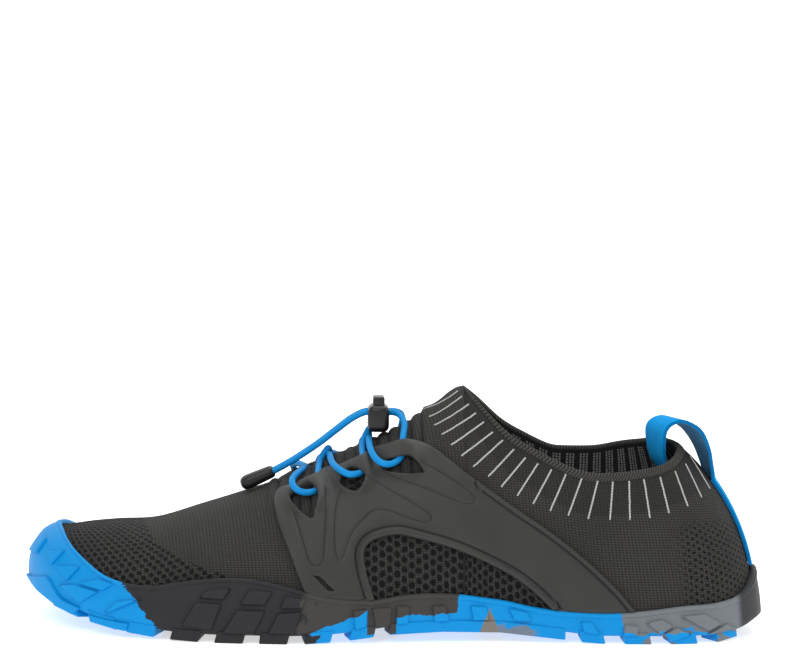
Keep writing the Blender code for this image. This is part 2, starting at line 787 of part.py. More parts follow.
# The frame stands off the upper round its lace windows, so that the lace runs behind it.
LACE_ROOM = 0.0024
LACE_ROOM_REACH = 0.0110
LACE_ROOM_ABOVE = 0.0030


def frame_place(mark):
    return mark.x * LENGTH, mark.z * INSTEP_HEIGHT


def rand_top_at(x):
    return LAST.rand(LAST.t_at(x))


def window_middle(window):
    return (
        sum(m.x for m in window) / len(window) * LENGTH,
        sum(m.z for m in window) / len(window) * INSTEP_HEIGHT,
    )


def frame_lift(x, z):
    """How far the frame stands off the upper at this place."""
    lift = 0.0
    for window in LACE_WINDOWS:
        wx, wz = window_middle(window)
        away = math.hypot(x - wx, z - wz - LACE_ROOM_ABOVE) / LACE_ROOM_REACH
        near = min(max(1.8 * (1 - away), 0.0), 1.0)
        lift = max(lift, LACE_ROOM * near * near * (3 - 2 * near))
    return lift


def frame_outline(side):
    feet = {
        name: (share * LENGTH, rand_top_at(share * LENGTH) + FRAME_GAP)
        for name, share in FRAME_FEET.items()
    }
    step = 0.0055
    front = [feet["front"]] + [frame_place(m) for m in FRAME_FRONT] + [frame_place(FRAME_TOP[0])]
    top = [frame_place(m) for m in FRAME_TOP] + [feet["rear"]]
    arch = [feet["arch_rear"]] + [frame_place(m) for m in FRAME_ARCH] + [feet["arch_front"]]
    outline = along_line(front, step)[:-1] + along_line(top, step)

    def foot_line(start, end):
        count = max(2, round(abs(feet[end][0] - feet[start][0]) / step))
        xs = [mix(feet[start][0], feet[end][0], k / count) for k in range(1, count)]
        return [Vector((x, rand_top_at(x) + FRAME_GAP)) for x in xs]

    outline += foot_line("rear", "arch_rear")
    outline += along_line(arch, 0.0045)
    outline += foot_line("arch_front", "front")
    return [(p.x, p.y) for p in outline]


def side_frame(name, side, look, parent):
    outline = frame_outline(side)
    holes = [
        [(p.x, p.y) for p in around_ring([frame_place(m) for m in window], 0.0032)]
        for window in LACE_WINDOWS
    ]
    holes.append([frame_place(m) for m in FRAME_SLOT])
    flat, triangles, sizes = triangulate(outline, holes, 0.0070)
    places = {
        (x, z): LAST.find(x, z, side, FRAME_CLEARANCE + frame_lift(x, z) + FRAME_THICKNESS) for x, z in flat
    }

    def layer(off):
        return lambda x, z: LAST.shell(*places[(x, z)], side, FRAME_CLEARANCE + frame_lift(x, z) + off)

    plate = plate_from(flat, triangles, sizes, layer(0.0), layer(FRAME_THICKNESS))
    return add_object(name, mesh_from(name, *plate), look, parent)


# The heel tab's loop, from where it leaves the heel to where it meets the collar's inside, in shares of
# the shoe's length and the heel's height
TAB_LOOP = [
    Mark(0.9219, 0.945),
    Mark(0.9080, 1.032),
    Mark(0.8940, 1.081),
    Mark(0.8740, 1.108),
    Mark(0.8570, 1.078),
    Mark(0.8530, 1.010),
    Mark(0.8600, 0.882),
    Mark(0.8860, 0.780),
]
TAB_FOOT = 0.360
TAB_SEWN_TO = 0.800
TAB_INNER_TO = 0.640
TAB_YAW = 0.32
TAB_INNER_CLEARANCE = 0.0006


def heel_x(y, z, off):
    """The x of the upper's surface, moved off outside it, at the back of the heel."""
    side = LATERAL if y < 0 else MEDIAL
    low, high = 0.9, 1.0
    for _ in range(14):
        t = (low + high) / 2
        p = LAST.shell(t, LAST.v_at(t, side, z, off), side, off)
        low, high = (t, high) if abs(p.y) > abs(y) else (low, t)
    return p.x


def pull_loop(look, parent):
    """A strip sewn up the back of the heel, out into a loop, and down inside the collar."""
    columns = 4
    ys = [(k / columns - 0.5) * TAB_WIDTH for k in range(columns + 1)]
    inner, outer = [], []
    for k in range(9):
        z = mix(TAB_FOOT, TAB_SEWN_TO, k / 8) * HEEL_HEIGHT
        inner.append([Vector((heel_x(y, z, CLEARANCE), y, z)) for y in ys])
        outer.append([Vector((heel_x(y, z, CLEARANCE + TAB_THICKNESS), y, z)) for y in ys])
    start = sum((a[columns // 2] + b[columns // 2] for a, b in zip(inner[-1:], outer[-1:])), Vector()) / 2
    end_z = TAB_INNER_TO * HEEL_HEIGHT
    inside_off = -UPPER_WALL - CLEARANCE
    sewn = [(heel_x(0.0, z, inside_off - 0.75 * TAB_THICKNESS), z) for z in (end_z + 0.006, end_z)]
    marks = [(start.x, start.z)] + [(m.x * LENGTH, m.z * HEEL_HEIGHT) for m in TAB_LOOP] + sewn
    line = along_line([Vector(m) for m in marks], 0.0045)
    for k in range(1, len(line)):
        place = line[k]
        after = line[min(k + 1, len(line) - 1)]
        along = Vector((after.x - line[k - 1].x, 0, after.y - line[k - 1].y)).normalized()
        out = Vector((along.z, 0, -along.x))
        share = k / (len(line) - 1)
        yaw = TAB_YAW * max(min(3.5 * share, 1.0, 2.6 * (0.82 - share)), 0.0)
        rows = ([], [])
        for y in ys:
            bow = heel_x(y, start.z, 0) - heel_x(0, start.z, 0)
            bow_end = heel_x(y, end_z, inside_off) - heel_x(0, end_z, inside_off)
            shift = bow * max(1 - 4 * share, 0) + bow_end * min(max(4 * share - 2.6, 0), 1) - yaw * y
            middle = Vector((place.x + shift, y, place.y))
            rows[0].append(middle - out * TAB_THICKNESS / 2)
            rows[1].append(middle + out * TAB_THICKNESS / 2)
        inner.append(rows[0])
        outer.append(rows[1])
    points = [p for row in inner for p in row] + [p for row in outer for p in row]
    mesh = mesh_from("pull_loop", points, box_grid_faces(len(inner) - 1, columns))
    return add_object("pull_loop", mesh, look, parent)


# The lace's crossings: x and y from the toe tip and the long axis, and how far the lace lies over the upper
Stop = namedtuple("Stop", "x y rise")
LACE_BAR = [
    Stop(0.1030, -0.0080, 0.0019),
    Stop(0.1026, -0.0020, 0.0019),
    Stop(0.1025, 0.0050, 0.0018),
    Stop(0.1026, 0.0120, 0.0019),
    Stop(0.1030, 0.0180, 0.0019),
]
LACE_CROSS_1 = [
    Stop(0.1105, -0.0062, 0.0021),
    Stop(0.1128, -0.0008, 0.0021),
    Stop(0.1150, 0.0046, 0.0020),
    Stop(0.1172, 0.0100, 0.0021),
    Stop(0.1195, 0.0150, 0.0021),
]
LACE_CROSS_2 = [
    Stop(0.1245, -0.0046, 0.0021),
    Stop(0.1265, -0.0006, 0.0020),
    Stop(0.1285, 0.0038, 0.0019),
    Stop(0.1305, 0.0082, 0.0020),
    Stop(0.1325, 0.0118, 0.0020),
]
# The free ends, from the top windows through the lock to the cord end. The far end mirrors y about the lock.
Point = namedtuple("Point", "x y z")
LACE_END = [
    Point(0.1420, -0.0135, 0.0765),
    Point(0.1422, -0.0108, 0.0788),
    Point(0.1412, -0.0070, 0.0809),
    Point(0.1394, -0.0034, 0.0820),
    Point(0.1372, -0.0022, 0.0822),
    Point(0.1324, -0.0022, 0.0822),
    Point(0.1274, -0.0022, 0.0820),
    Point(0.1220, -0.0021, 0.0793),
    Point(0.1160, -0.0019, 0.0746),
    Point(0.1090, -0.0017, 0.0690),
    Point(0.1010, -0.0016, 0.0634),
    Point(0.0960, -0.0016, 0.0603),
    Point(0.0930, -0.0016, 0.0586),
]
LOCK_PLACE = (0.1324, 0.0030, 0.0798)
LACE_THROUGH_LOCK = 0.0024
LACE_CLEARANCE = 0.0004
LACE_APART = 0.0044
LOCK_BRIDGE = 0.0014
CORD_END_PLACE = (0.0924, 0.0030, 0.0583)
CORD_END_DROP = math.radians(22)


def tube(points, radius, sides=8):
    """A round tube along a smooth line, as points and faces."""
    rings, faces = [], []
    up = Vector((0, 0, 1))
    for k, p in enumerate(points):
        along = (points[min(k + 1, len(points) - 1)] - points[max(k - 1, 0)]).normalized()
        across = along.cross(up).normalized()
        over = across.cross(along)
        for n in range(sides):
            turn = 2 * math.pi * n / sides
            rings.append(p + (across * math.cos(turn) + over * math.sin(turn)) * radius)
    for k in range(len(points) - 1):
        for n in range(sides):
            a, b = k * sides + n, k * sides + (n + 1) % sides
            faces.append([a, b, b + sides, a + sides])
    last = (len(points) - 1) * sides
    faces += [list(range(sides)), list(range(last, last + sides))]
    return rings, faces


def over_throat(stops, mirrored=False):
    """The stops as places over the upper, or mirrored about the crest."""
    middle = stops[len(stops) // 2].y
    places = []
    for stop in stops:
        y = 2 * middle - stop.y if mirrored else stop.y
        places.append(Vector((stop.x, y, LAST.height(stop.x, y) + stop.rise)))
    return along_line(places, 0.0028)


def lace_bar(look, parent):
    mesh = mesh_from("lace_bar", *tube(over_throat(LACE_BAR), LACE_DIAMETER / 2))
    return add_object("lace_bar", mesh, look, parent)


def lace_cross(name, stops, look, parent):
    """Two strands that cross over the throat, joined where they meet."""
    first = mesh_from(name, *tube(over_throat(stops), LACE_DIAMETER / 2))
    second = mesh_from(name + "_other", *tube(over_throat(stops, True), 0.97 * LACE_DIAMETER / 2))
    made = add_object(name, first, look, parent)
    helper = add_object(name + "_other", second, look, parent)
    join_with(made, helper, "UNION")
    return made


def join_with(body, helper, operation):
    helper.hide_render = True
    helper.display_type = "WIRE"
    step = body.modifiers.new(helper.name, "BOOLEAN")
    step.operation = operation
    step.solver = "EXACT"
    step.object = helper


def lace_end(name, side, look, parent):
    """A free end as a curve with a round bevel."""
    middle = LOCK_PLACE[1]
    route = [Vector((p.x, middle - side * p.y, p.z)) for p in LACE_END]
    line = along_line(route, 0.0028)
    data = bpy.data.curves.new(name, "CURVE")
    data.dimensions = "3D"
    data.bevel_depth = LACE_DIAMETER / 2
    data.bevel_resolution = 2
    data.use_fill_caps = True
    spline = data.splines.new("POLY")
    spline.points.add(len(line) - 1)
    for point, place in zip(spline.points, line):
        point.co = (*place, 1)
    data.materials.append(look)
    made = bpy.data.objects.new(name, data)
    bpy.context.scene.collection.objects.link(made)
    made.parent = parent
    return made


def box_mesh(name, size, centre=(0, 0, 0), bevel=0.0, segments=2):
    bm = bmesh.new()
    bmesh.ops.create_cube(bm, size=1)
    bmesh.ops.scale(bm, vec=size, verts=bm.verts)
    if bevel:
        bmesh.ops.bevel(bm, geom=bm.edges[:], offset=bevel, segments=segments, profile=0.5, affect="EDGES")
    bmesh.ops.translate(bm, vec=centre, verts=bm.verts)
    mesh = bpy.data.meshes.new(name)
    bm.to_mesh(mesh)
    bm.free()
    return mesh


def slot_mesh(name, length, width, low, high, middle):
    """A cutter along X with round ends above and below, at middle in y."""
    radius, profile = width / 2, []
    for k in range(7):
        turn = math.pi * k / 6
        profile.append((radius * math.cos(turn), high - radius + radius * math.sin(turn)))
    for k in range(7):
        turn = math.pi * (1 + k / 6)
        profile.append((radius * math.cos(turn), low + radius + radius * math.sin(turn)))
    count = len(profile)
    points = [Vector((x, middle + y, z)) for x in (-length / 2, length / 2) for y, z in profile]
    faces = [list(range(count)), list(range(count, 2 * count))]
    faces += [[k, (k + 1) % count, (k + 1) % count + count, k + count] for k in range(count)]
    return mesh_from(name, points, faces)


def cord_lock(looks, parent):
    """The barrel with its well and two lace holes, and the plunger with its two slots."""
    bore = LACE_DIAMETER + 2 * LACE_CLEARANCE
    lace_z = LACE_THROUGH_LOCK
    barrel = add_object(
        "lock_barrel",
        box_mesh("lock_barrel", (LOCK_LENGTH, LOCK_WIDTH, LOCK_HEIGHT), bevel=0.0022),
        looks["lock"],
        parent,
    )
    barrel.location = LOCK_PLACE
    well_floor = lace_z - bore / 2 - LOCK_BRIDGE - PLUNGER_TRAVEL - CLEARANCE
    well_top = LOCK_HEIGHT / 2 + 0.001
    well = add_object(
        "lock_well",
        box_mesh(
            "lock_well",
            (PLUNGER_LENGTH + 2 * CLEARANCE, PLUNGER_WIDTH + 2 * CLEARANCE, well_top - well_floor),
            (0, 0, (well_top + well_floor) / 2),
        ),
        looks["lock"],
        barrel,
    )
    join_with(barrel, well, "DIFFERENCE")
    plunger_top = LOCK_HEIGHT / 2 + PLUNGER_STICKS_OUT
    plunger_foot = well_floor + CLEARANCE + PLUNGER_TRAVEL
    button = add_object(
        "lock_button",
        box_mesh(
            "lock_button",
            (PLUNGER_LENGTH, PLUNGER_WIDTH, plunger_top - plunger_foot),
            (0, 0, (plunger_top + plunger_foot) / 2),
            bevel=0.0007,
            segments=1,
        ),
        looks["lock"],
        parent,
    )
    button.location = LOCK_PLACE
    low, high = lace_z - bore / 2, lace_z + bore / 2
    for side in (LATERAL, MEDIAL):
        hole = add_object(
            f"lock_hole_{side + 1}",
            slot_mesh("lock_hole", 2 * LOCK_LENGTH, bore, low, high, side * LACE_APART / 2),
            looks["lock"],
            barrel,
        )
        join_with(barrel, hole, "DIFFERENCE")
        slot = add_object(
            f"button_slot_{side + 1}",
            slot_mesh(
                "button_slot",
                2 * LOCK_LENGTH,
                bore,
                lace_z - bore / 2,
                lace_z + bore / 2 + PLUNGER_TRAVEL,
                side * LACE_APART / 2,
            ),
            looks["lock"],
            button,
        )
        join_with(button, slot, "DIFFERENCE")
    return barrel, button


def cord_end(look, parent):
    """The moulded grip on the lace's ends: round at the toe side, wider at the lace side."""
    profile = [(0.0, 0.60), (0.06, 0.92), (0.16, 1.0), (0.55, 0.96), (0.85, 0.84), (0.96, 0.66), (1.0, 0.36)]
    sides = 12
    points, faces = [], []
    for share, girth in profile:
        for n in range(sides):
            turn = 2 * math.pi * n / sides
            across, up = math.cos(turn), math.sin(turn)
            points.append(
                Vector(
                    (
                        -share * CORD_END_LENGTH,
                        math.copysign(abs(across) ** 0.8, across) * girth * CORD_END_WIDTH / 2,
                        math.copysign(abs(up) ** 0.8, up) * girth * CORD_END_HEIGHT / 2,
                    )
                )
            )
    for k in range(len(profile) - 1):
        for n in range(sides):
            a, b = k * sides + n, k * sides + (n + 1) % sides
            faces.append([a, b, b + sides, a + sides])
    last = (len(profile) - 1) * sides
    faces += [list(range(sides)), list(range(last, last + sides))]
    made = add_object("cord_end", mesh_from("cord_end", points, faces), look, parent)
    made.location = CORD_END_PLACE
    made.rotation_euler = (0, -CORD_END_DROP, 0)
    return made


def clear_scene():
    for old in list(bpy.data.objects):
        bpy.data.objects.remove(old, do_unlink=True)


def centre_over_floor(root, body):
    """Moves the root so that the outsole's box is centred on the origin, and its lugs stay on z = 0."""
    bpy.context.view_layer.update()
    shape = body.evaluated_get(bpy.context.evaluated_depsgraph_get())
    corners = [Vector(c) for c in shape.bound_box]
    for axis in (0, 1):
        values = [c[axis] for c in corners]
        root.location[axis] = -(min(values) + max(values)) / 2


def main():
    clear_scene()
    looks = {
        "knit": material("black knit", (0.020, 0.020, 0.019), 0.9),
        "rubber": material("black rubber", (0.030, 0.030, 0.031), 0.6),
        "frame": material("charcoal frame", (0.060, 0.060, 0.056), 0.6),
        "blue": material("blue strap", (0.0, 0.36, 0.83), 0.6),
        "footbed": material("grey footbed", (0.05, 0.05, 0.055), 0.9),
        "lock": material("black plastic", (0.02, 0.02, 0.02), 0.35),
    }
    root = bpy.data.objects.new("shoe", None)
    bpy.context.scene.collection.objects.link(root)
    body = outsole(looks["rubber"], root)
    insole(looks["footbed"], root)
    add_object("upper", upper_mesh(), looks["knit"], root)
    side_frame("cage_near", LATERAL, looks["frame"], root)
    side_frame("cage_far", MEDIAL, looks["frame"], root)
    pull_loop(looks["blue"], root)
    lace_bar(looks["blue"], root)
    lace_cross("lace_cross_1", LACE_CROSS_1, looks["blue"], root)
    lace_cross("lace_cross_2", LACE_CROSS_2, looks["blue"], root)
    lace_end("lace_end_near", LATERAL, looks["blue"], root)
    lace_end("lace_end_far", MEDIAL, looks["blue"], root)
    cord_lock(looks, root)
    cord_end(looks["lock"], root)
    centre_over_floor(root, body)


if __name__ == "__main__":
    main()
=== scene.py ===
"""The looks of a left barefoot shoe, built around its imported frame.

Lengths are in metres. The toe points along -X, the lateral side is -Y, and the ground is z = 0.
"""

import math
from collections import namedtuple

import bmesh
import bpy
import numpy as np
from mathutils import Euler, Matrix, Vector
from mathutils.geometry import delaunay_2d_cdt


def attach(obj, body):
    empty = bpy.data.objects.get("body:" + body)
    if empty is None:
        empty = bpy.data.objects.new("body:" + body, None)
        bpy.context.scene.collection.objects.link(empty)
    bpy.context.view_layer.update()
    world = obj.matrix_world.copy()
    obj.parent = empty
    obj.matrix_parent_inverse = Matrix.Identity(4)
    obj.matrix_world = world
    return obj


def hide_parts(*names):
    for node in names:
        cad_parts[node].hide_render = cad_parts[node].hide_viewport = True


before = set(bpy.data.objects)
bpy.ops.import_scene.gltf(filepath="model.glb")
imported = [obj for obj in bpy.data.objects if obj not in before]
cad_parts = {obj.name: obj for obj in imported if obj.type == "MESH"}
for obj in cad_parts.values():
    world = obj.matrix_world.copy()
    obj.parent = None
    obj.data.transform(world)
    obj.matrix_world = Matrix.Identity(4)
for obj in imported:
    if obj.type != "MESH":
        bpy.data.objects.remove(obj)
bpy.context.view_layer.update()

# The camera, at the photograph's angle

IMAGE_WIDTH = 796
IMAGE_HEIGHT = 649
SENSOR_WIDTH = 36
FOCAL_PIXELS = 2574.18
CENTRE_PIXELS = (397.12, 507.64)
CAMERA_AZIMUTH = math.radians(-2)
CAMERA_ELEVATION = math.radians(8)
CAMERA_ROLL = math.radians(1.44)
CAMERA_DISTANCE = 1.0
CAMERA_TARGET = Vector((0, 0, 0.045))


def make_camera():
    data = bpy.data.cameras.new("camera")
    data.sensor_fit = "HORIZONTAL"
    data.sensor_width = SENSOR_WIDTH
    data.lens = FOCAL_PIXELS * SENSOR_WIDTH / IMAGE_WIDTH
    data.shift_x = (IMAGE_WIDTH / 2 - CENTRE_PIXELS[0]) / IMAGE_WIDTH
    data.shift_y = (CENTRE_PIXELS[1] - IMAGE_HEIGHT / 2) / IMAGE_WIDTH
    data.clip_start = 0.01
    camera = bpy.data.objects.new("camera", data)
    bpy.context.scene.collection.objects.link(camera)
    back = Vector(
        (
            math.sin(CAMERA_AZIMUTH) * math.cos(CAMERA_ELEVATION),
            -math.cos(CAMERA_AZIMUTH) * math.cos(CAMERA_ELEVATION),
            math.sin(CAMERA_ELEVATION),
        )
    )
    turn = Euler((math.pi / 2 - CAMERA_ELEVATION, 0, CAMERA_AZIMUTH)).to_matrix()
    place = (turn @ Matrix.Rotation(CAMERA_ROLL, 3, "Z")).to_4x4()
    place.translation = CAMERA_TARGET + back * CAMERA_DISTANCE
    camera.matrix_world = place
    bpy.context.scene.camera = camera


make_camera()

# The last: the same surface that the solids follow

ORIGIN = np.array((-0.1405, -0.0005, 0.0))
LENGTH = 0.2815
BALL_WIDTH = 0.0945
HEEL_WIDTH = 0.0680
TOE_HEIGHT = 0.0380
INSTEP_HEIGHT = 0.0930
HEEL_HEIGHT = 0.0740
TOE_SPRING = 0.0110
ARCH_RISE = 0.0042
HEEL_BEVEL = 0.0060
FLOOR_BEVEL = 0.25
UPPER_WALL = 0.0020
SOLE_THICKNESS = 0.0040
LUG_DEPTH = 0.0030
INSOLE_THICKNESS = 0.0030
RAND_TOP_THICKNESS = 0.0012
RAND_FOOT_THICKNESS = 0.0024
SIDE_PLATE_HEIGHT = 0.0007
HEEL_LIP = 0.0009
FRAME_THICKNESS = 0.0011
TAB_WIDTH = 0.0170
TAB_THICKNESS = 0.0014
CLEARANCE = 0.0003
LACE_DIAMETER = 0.0025
LATERAL, MEDIAL = -1, 1

Section = namedtuple("Section", "zone x lateral medial pivot lean top cut_l cut_m full rand")
SECTIONS = [
    Section("toe", 0.000, -0.090, 0.090, 0.050, 0.060, 0.925, 0.000, 0.000, 2.30, 0.915),
    Section("toe", 0.012, 0.075, 0.225, 0.053, 0.060, 0.925, 0.000, 0.000, 2.30, 0.908),
    Section("toe", 0.036, 0.205, 0.325, 0.062, 0.060, 0.930, 0.000, 0.000, 2.30, 0.865),
    Section("toe", 0.070, 0.310, 0.400, 0.083, 0.060, 0.955, 0.000, 0.000, 2.30, 0.725),
    Section("toe", 0.112, 0.390, 0.450, 0.116, 0.060, 0.980, 0.000, 0.000, 2.28, 0.560),
    Section("toe", 0.165, 0.450, 0.490, 0.165, 0.060, 1.006, 0.000, 0.000, 2.25, 0.505),
    Section("instep", 0.230, 0.487, 0.513, 0.230, 0.060, 0.474, 0.000, 0.000, 2.20, 0.579),
    Section("instep", 0.285, 0.502, 0.508, 0.285, 0.058, 0.531, 0.000, 0.000, 2.15, 0.616),
    Section("instep", 0.345, 0.502, 0.476, 0.345, 0.055, 0.598, 0.000, 0.000, 2.10, 0.558),
    Section("instep", 0.405, 0.487, 0.428, 0.405, 0.050, 0.682, 0.000, 0.000, 2.02, 0.450),
    Section("instep", 0.465, 0.455, 0.376, 0.465, 0.040, 0.768, 0.000, 0.000, 1.95, 0.426),
    Section("instep", 0.505, 0.432, 0.349, 0.505, 0.030, 0.832, 0.000, 0.000, 1.90, 0.471),
    Section("instep", 0.540, 0.415, 0.336, 0.540, 0.020, 0.905, 0.000, 0.000, 1.90, 0.487),
    Section("instep", 0.585, 0.395, 0.328, 0.585, 0.010, 1.000, 0.000, 0.000, 1.90, 0.471),
    Section("instep", 0.606, 0.388, 0.325, 0.606, 0.006, 0.998, 0.340, 0.310, 1.90, 0.450),
    Section("instep", 0.640, 0.380, 0.325, 0.640, 0.000, 0.996, 0.550, 0.520, 1.90, 0.416),
    Section("instep", 0.680, 0.375, 0.330, 0.680, 0.000, 1.010, 0.660, 0.640, 1.90, 0.355),
    Section("heel", 0.725, 0.518, 0.465, 0.725, 0.000, 1.320, 0.755, 0.730, 1.92, 0.315),
    Section("heel", 0.775, 0.515, 0.470, 0.763, 0.000, 1.330, 0.783, 0.737, 1.95, 0.302),
    Section("heel", 0.830, 0.505, 0.468, 0.779, 0.000, 1.290, 0.762, 0.698, 1.98, 0.326),
    Section("heel", 0.885, 0.475, 0.445, 0.783, 0.000, 1.220, 0.705, 0.631, 2.00, 0.375),
    Section("heel", 0.930, 0.410, 0.390, 0.780, 0.000, 1.165, 0.618, 0.541, 1.95, 0.392),
    Section("heel", 0.965, 0.305, 0.295, 0.776, 0.000, 1.145, 0.555, 0.491, 1.90, 0.447),
    Section("heel", 0.988, 0.165, 0.162, 0.773, 0.000, 1.140, 0.522, 0.493, 1.88, 0.590),
    Section("heel", 0.995, 0.000, 0.000, 0.772, 0.000, 1.140, 0.505, 0.505, 1.88, 0.665),
]
PEAK_ROW = 13
ZONE_WIDTH = {"toe": BALL_WIDTH, "instep": BALL_WIDTH, "heel": HEEL_WIDTH}
ZONE_HEIGHT = {"toe": TOE_HEIGHT, "instep": INSTEP_HEIGHT, "heel": HEEL_HEIGHT}

Ground = namedtuple("Ground", "x toe arch heel")
GROUND = [
    Ground(0.000, 1.00, 0.00, 0.00),
    Ground(0.030, 0.80, 0.00, 0.00),
    Ground(0.060, 0.59, 0.00, 0.00),
    Ground(0.110, 0.31, 0.00, 0.00),
    Ground(0.170, 0.11, 0.00, 0.00),
    Ground(0.250, 0.00, 0.00, 0.00),
    Ground(0.345, 0.00, 0.00, 0.00),
    Ground(0.420, 0.00, 0.22, 0.00),
    Ground(0.500, 0.00, 0.84, 0.00),
    Ground(0.570, 0.00, 1.00, 0.00),
    Ground(0.640, 0.00, 0.92, 0.00),
    Ground(0.700, 0.00, 0.50, 0.00),
    Ground(0.780, 0.00, 0.00, 0.00),
    Ground(0.920, 0.00, 0.00, 0.00),
    Ground(0.960, 0.00, 0.00, 0.22),
    Ground(1.000, 0.00, 0.00, 1.00),
]


def curve(ts, vs, first=None, last=None):
    """A smooth function of an array through the values vs at ts, which doesn't overshoot them."""
    ts, vs = np.asarray(ts, float), np.asarray(vs, float)
    count = len(ts)
    rise = np.diff(vs) / np.diff(ts)
    slope = np.zeros(count)
    slope[0] = rise[0] if first is None else first
    slope[-1] = rise[-1] if last is None else last
    for i in range(1, count - 1):
        if rise[i - 1] * rise[i] <= 0:
            continue
        before, after = ts[i] - ts[i - 1], ts[i + 1] - ts[i]
        middle = (rise[i - 1] * after + rise[i] * before) / (before + after)
        most = 3 * min(abs(rise[i - 1]), abs(rise[i]))
        slope[i] = math.copysign(min(abs(middle), most), middle)

    def at(t):
        t = np.clip(t, ts[0], ts[-1])
        i = np.clip(np.searchsorted(ts, t, side="right") - 1, 0, count - 2)
        h = ts[i + 1] - ts[i]
        s = (t - ts[i]) / h
        bend = s * s * (3 - 2 * s)
        return (
            vs[i]
            + (vs[i + 1] - vs[i]) * bend
            + h * s * (1 - s) * ((1 - s) * slope[i] - s * slope[i + 1])
        )

    return at


def mix(a, b, s):
    return a + (b - a) * s


def smooth(low, high, x):
    s = np.clip((x - low) / (high - low), 0, 1)
    return s * s * (3 - 2 * s)


def bead_at(away, middle, half):
    """A round bead, from 0 to 1."""
    return np.sqrt(np.maximum(1 - ((away - middle) / half) ** 2, 0))


def groove_at(away, middle, half):
    """A groove or fold with soft sides, from 0 to 1."""
    return np.exp(-(((away - middle) / half) ** 2))


def unit(vectors):
    size = np.linalg.norm(vectors, axis=-1, keepdims=True)
    return vectors / np.maximum(size, 1e-12)


ground_at = curve(
    [g.x * LENGTH for g in GROUND],
    [g.toe * TOE_SPRING + g.arch * ARCH_RISE + g.heel * HEEL_BEVEL for g in GROUND],
)
bed_at = curve(
    [g.x * LENGTH for g in GROUND],
    [g.toe * TOE_SPRING + g.arch * ARCH_RISE + g.heel * HEEL_BEVEL * FLOOR_BEVEL for g in GROUND],
)


def floor_at(x):
    return bed_at(x) + LUG_DEPTH + SOLE_THICKNESS


